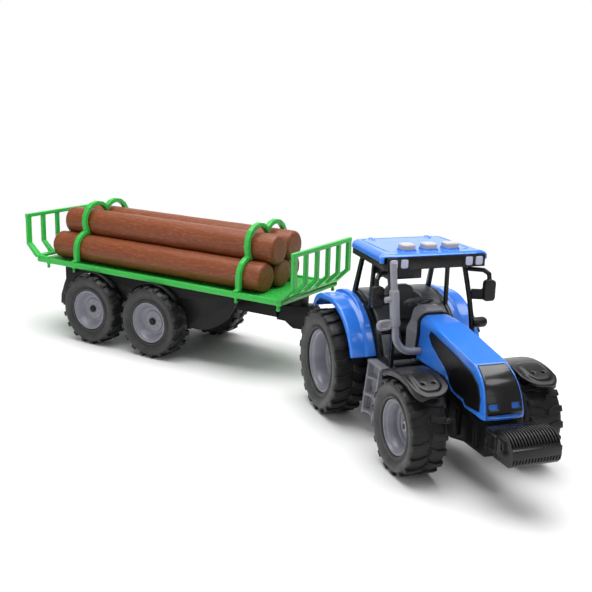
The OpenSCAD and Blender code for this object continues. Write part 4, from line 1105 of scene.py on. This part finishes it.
@dataclass
class Exhaust:
    """The exhaust pipe: a moulding with an oval eyelet, ringed and closed, on its clamp."""

    foot: Point = (70.5, -31, 76.6)
    lean: float = 5.0
    centre: Flat = (-7.6, 7.3)
    long: float = 4.7
    high: float = 2.6
    ring: float = 1.15
    plate: float = 0.7

    def eyelet(self) -> Sculpt:
        """The raised oval ring and the thin plate that closes it."""
        y, z = self.centre
        oval = oblong(2 * self.long, 2 * self.high, self.high - 0.05, self.centre, 10)
        rings = []
        for py, pz in oval:
            out = Vector((0, py - y, (pz - z) * 1.6)).normalized()
            rings.append([(a, py + out.y * b, pz + out.z * b) for a, b in circle((0, 0), self.ring, 12)])
        form = Sculpt().loft(rings, closed=True)
        form.prism(oblong(2 * self.long - 0.6, 2 * self.high - 0.6, self.high - 0.4, self.centre, 8),
                   -self.plate, self.plate, Plane.YZ)
        return form

    def build(self, shop: Workshop) -> None:
        """Makes and keeps the pipe with its eyelet."""
        pipe = shop.moulded("exhaust_pipe", "exhaust", grid=0.35, rounds=8)
        place = shop.tractor @ shift(*self.foot) @ Matrix.Rotation(radians(self.lean), 4, "X")
        eyelet = shop.shape("eyelet", self.eyelet(), place)
        piece = joined([pipe, eyelet], "exhaust_piece")
        smooth(piece.data, 60)
        shop.keep(piece, "tractor", Paint.PIPE, "exhaust")


@dataclass(frozen=True)
class Fender:
    """A front fender, whose front corner beside the hood is drawn back in a wide round."""

    node: str
    centre: Flat = (116, 8)
    radius: float = 58.0
    inner: float = 25.4
    corner: float = 13.0
    start: float = radians(88)
    tip: float = radians(61.6)

    def rounded(self, p: Vector) -> Vector:
        """A point of the fender, slid back along its arc near the corner."""
        x, z = p.x - self.centre[0], p.z - self.centre[1]
        angle, reach = atan2(z, x), self.corner - abs(p.y) + self.inner
        if reach <= 0 or angle > self.start:
            return p
        cut = self.corner - sqrt(max(self.corner ** 2 - min(reach, self.corner) ** 2, 0))
        share = (self.start - angle) / (self.start - self.tip)
        angle += share * cut / self.radius
        far = hypot(x, z)
        return Vector((self.centre[0] + far * cos(angle), p.y, self.centre[1] + far * sin(angle)))

    def build(self, shop: Workshop) -> None:
        """Makes and keeps the fender."""
        shop.cast(self.node, "tractor", Paint.BLACK, grid=0.45, rounds=14, place=shop.tractor,
                  carve=self.rounded)


@dataclass(frozen=True)
class TrailerChassis:
    """The trailer's chassis, with a thin liner that closes each wheel arch inwards."""

    gap: float = 1.7
    wall: float = 0.6
    inner: float = 31.4
    outer: float = 40.0
    start: float = 20.0
    end: float = 160.0
    steps: int = 36

    def liner(self, centre: Vector, radius: float, side: int) -> Sculpt:
        """One arched liner, in the trailer's frame."""
        middle, low = (centre.x, centre.z), radius + self.gap
        outline = (arc(middle, low, self.start, self.end, self.steps)
                   + arc(middle, low + self.wall, self.end, self.start, self.steps))
        inner, outer = sorted((side * self.inner, side * self.outer))
        return Sculpt().prism(outline, inner, outer, Plane.XZ)

    def build(self, shop: Workshop) -> None:
        """Makes and keeps the chassis with its liners."""
        parts = [shop.copied("trailer_chassis_piece", "trailer_chassis", 0.35)]
        for word in ENDS:
            centre = shop.centre(f"trailer_{word}_roll", True)
            for side in (1, -1):
                parts.append(shop.shape("liner", self.liner(centre, centre.z, side), shop.trailer))
        shop.keep(joined(parts, "trailer_chassis_piece"), "trailer", Paint.CHASSIS, "trailer_chassis")


# ---------- pieces in the CAD's own form ----------


@dataclass(frozen=True)
class Plain:
    """A CAD node whose welded copy, with rounded edges, is shown."""

    node: str
    body: str
    paint: Paint
    edge: float = 0.3
    segments: int = 2

    def build(self, shop: Workshop) -> None:
        """Makes and keeps the copy."""
        obj = shop.copied(self.node + "_piece", self.node, self.edge, self.segments)
        shop.keep(obj, self.body, self.paint, self.node)


@dataclass(frozen=True)
class Moulded:
    """A CAD node shown as a soft-edged moulding on an even net."""

    node: str
    body: str
    paint: Paint
    grid: float = 0.5
    rounds: int = 8
    swell: float = 0.0

    def build(self, shop: Workshop) -> None:
        """Makes and keeps the moulding."""
        shop.cast(self.node, self.body, self.paint, self.grid, self.rounds, swell=self.swell)


OTHERS = (
    Plain("chassis", "tractor", Paint.CHASSIS, 0.35),
    Plain("chassis_cover", "tractor", Paint.CHASSIS, 0.2),
    Plain("front_weight", "tractor", Paint.BLACK, 0.2),
    Plain("tow_hitch", "tractor", Paint.BLACK, 0.35),
    Plain("body_screws", "tractor", Paint.STEEL, 0.1),
    Plain("cab_frame", "tractor", Paint.BLACK, 0.35),
    Moulded("cab_tub", "tractor", Paint.CAB, 0.8, 8),
    Moulded("dashboard", "tractor", Paint.GREY, 0.5, 10),
    Moulded("roof_lamps", "tractor", Paint.LAMP, 0.25, 8),
    Plain("rubber_domes", "tractor", Paint.DOME, 0.1),
    Plain("circuit_board", "tractor", Paint.BOARD, 0.08),
    Plain("electronics_box", "tractor", Paint.BLACK, 0.4),
    Plain("battery_door", "tractor", Paint.BLACK, 0.15),
    Plain("button_cells", "tractor", Paint.STEEL, 0.3),
    Plain("speaker", "tractor", Paint.CONE, 0.15),
    *(Moulded("rear_fender_" + side, "tractor", Paint.BLUE, 0.5, 10) for side in SIDES),
    Moulded("ladders", "tractor", Paint.GREY, 0.45, 6),
    *(Moulded("mirror_" + side, "tractor", Paint.BLACK, 0.35, 8) for side in SIDES),
    Plain("gearbox_case", "tractor", Paint.CAB, 0.2),
    Moulded("steering_wheel", "steering", Paint.CAB, 0.35, 5),
    *(Moulded("button_" + side, "button_" + side, Paint.BUTTON, 0.3, 12)
      for side in ("left", "middle", "right")),
    Plain("rear_axle", "rear_wheels", Paint.STEEL, 0.2),
    Plain("drive_gear", "rear_wheels", Paint.GEAR, 0.08, 1),
    Plain("idler_gear", "idler", Paint.GEAR, 0.08, 1),
    Plain("flywheel", "flywheel", Paint.ZINC, 0.08, 1),
    Plain("front_axle", "front_wheels", Paint.STEEL, 0.2),
    Plain("deck", "trailer", Paint.GREEN, 0.2),
    Moulded("front_gate", "trailer", Paint.GREEN, 0.4, 3, 0.25),
    Moulded("rear_gate", "trailer", Paint.GREEN, 0.4, 3, 0.12),
    *(Moulded("strap_" + end, "trailer", Paint.STRAP, 0.4, 12) for end in ENDS),
    *(Plain("trailer_axle_" + end, "trailer_wheels_" + end, Paint.CHASSIS, 0.3) for end in ENDS),
)


# ---------- studio ----------


@dataclass(frozen=True)
class Studio:
    """White sweep, soft overhead light and camera."""

    eye: Point = (675.41, -205.48, 249.1)
    heading: float = -20.02
    pitch: float = 14.06
    roll: float = 1.61
    lens: float = 57.16
    near: float = 0.36  # metres from the middle where the floor starts to fade
    far: float = 0.75  # metres from the middle where it is white
    sky: float = 0.22  # strength of the surround as a light

    def floor(self) -> None:
        """The floor keeps its shadow and fades to white away from the object, for the camera only."""
        size, z = 2500.0, -0.02  # millimetres
        corners = [(-size, -size, z), (size, -size, z), (size, size, z), (-size, size, z)]
        mesh = Sculpt().faces(corners, [[0, 1, 2, 3]]).mesh("floor", Matrix.Scale(MM, 4))
        floor = link(mesh, "floor")
        s = Shader("White sweep")
        s.set(Base_Color=(0.87, 0.87, 0.87, 1), Roughness=0.6, Specular_IOR_Level=0.25)
        s.bumps((s.noise(40), 0.02))
        away = s.node("VectorMath", {"operation": "LENGTH"}, _0=s.where).outputs["Value"]
        fade = s.node("MapRange", {"interpolation_type": "SMOOTHSTEP"}, Value=away, From_Min=self.near,
                      From_Max=self.far, To_Min=0.0, To_Max=1.0).outputs[0]
        share = s.maths("MULTIPLY", fade, s.node("LightPath").outputs["Is Camera Ray"])
        white = s.node("Emission", Color=(1, 1, 1, 1), Strength=1.0).outputs[0]
        mixed = s.node("MixShader", _0=share, _1=s.surface.outputs[0], _2=white).outputs[0]
        s.feed(s.out, _0=mixed)
        mesh.materials.append(s.material)

    def world(self) -> None:
        """A dim even sky for light, and white where the camera or a transmission ray looks."""
        world = bpy.data.worlds.new("White surround")
        world.use_nodes = True
        bpy.context.scene.world = world
        sky = Graph(world.node_tree)
        path = sky.node("LightPath").outputs
        seen = sky.maths("MAXIMUM", path["Is Camera Ray"], path["Is Transmission Ray"])
        level = sky.node("MapRange", Value=seen, To_Min=self.sky, To_Max=1.0).outputs[0]
        sky.feed(world.node_tree.nodes["Background"], Color=(1, 1, 1, 1), Strength=level)

    def lamp(self, name: str, place: Point, aim: Point, size: tuple[float, float], watts: float) -> None:
        """An area light, with places and sizes in millimetres."""
        data = bpy.data.lights.new(name, "AREA")
        data.shape = "RECTANGLE"
        data.size, data.size_y = size[0] * MM, size[1] * MM
        data.energy = watts
        lamp = bpy.data.objects.new(name, data)
        bpy.context.scene.collection.objects.link(lamp)
        lamp.location = Vector(place) * MM
        lamp.rotation_euler = (Vector(aim) - Vector(place)).to_track_quat("-Z", "Y").to_euler()

    def camera(self) -> None:
        """The camera, from its heading, pitch and roll."""
        a, e, r = (radians(v) for v in (self.heading, self.pitch, self.roll))
        ahead = Vector((-cos(e) * cos(a), -cos(e) * sin(a), -sin(e)))
        right = ahead.cross(Vector((0, 0, 1))).normalized()
        up = right.cross(ahead)
        right, up = right * cos(r) + up * sin(r), up * cos(r) - right * sin(r)
        data = bpy.data.cameras.new("Camera")
        data.lens = self.lens
        data.sensor_width = 36
        data.clip_start, data.clip_end = 0.01, 20
        camera = bpy.data.objects.new("Camera", data)
        bpy.context.scene.collection.objects.link(camera)
        turn = Matrix((right, up, -ahead)).transposed().to_4x4()
        camera.matrix_world = Matrix.Translation(Vector(self.eye) * MM) @ turn
        bpy.context.scene.camera = camera

    def build(self) -> None:
        """Sets up the whole studio."""
        self.floor()
        self.world()
        self.lamp("Overhead", (-40, 60, 900), (20, 0, 40), (1100, 900), 14.0)
        self.lamp("Side fill", (250, -900, 380), (60, 0, 60), (900, 500), 1.7)
        self.lamp("Front fill", (1100, 150, 500), (60, 40, 60), (700, 500), 0.9)
        self.lamp("Backdrop", (-1000, 420, 330), (0, 0, 60), (1700, 650), 3.2)
        self.lamp("Window", (560, 470, 760), (200, 80, 60), (260, 200), 0.6)
        self.camera()


def main() -> None:
    logging.basicConfig(level=logging.INFO, format="%(name)s: %(message)s")
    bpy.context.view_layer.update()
    bpy.context.scene.view_settings.view_transform = "Standard"
    shop = Workshop()
    for piece in (*wheel_pairs(shop), *log_stack(), Nose(), Roof(), Exhaust(),
                  *(Fender("front_fender_" + side) for side in SIDES), TrailerChassis(), *OTHERS):
        piece.build(shop)
    Studio().build()
    log.info("%d pieces", shop.made)


if __name__ == "__main__":
    main()
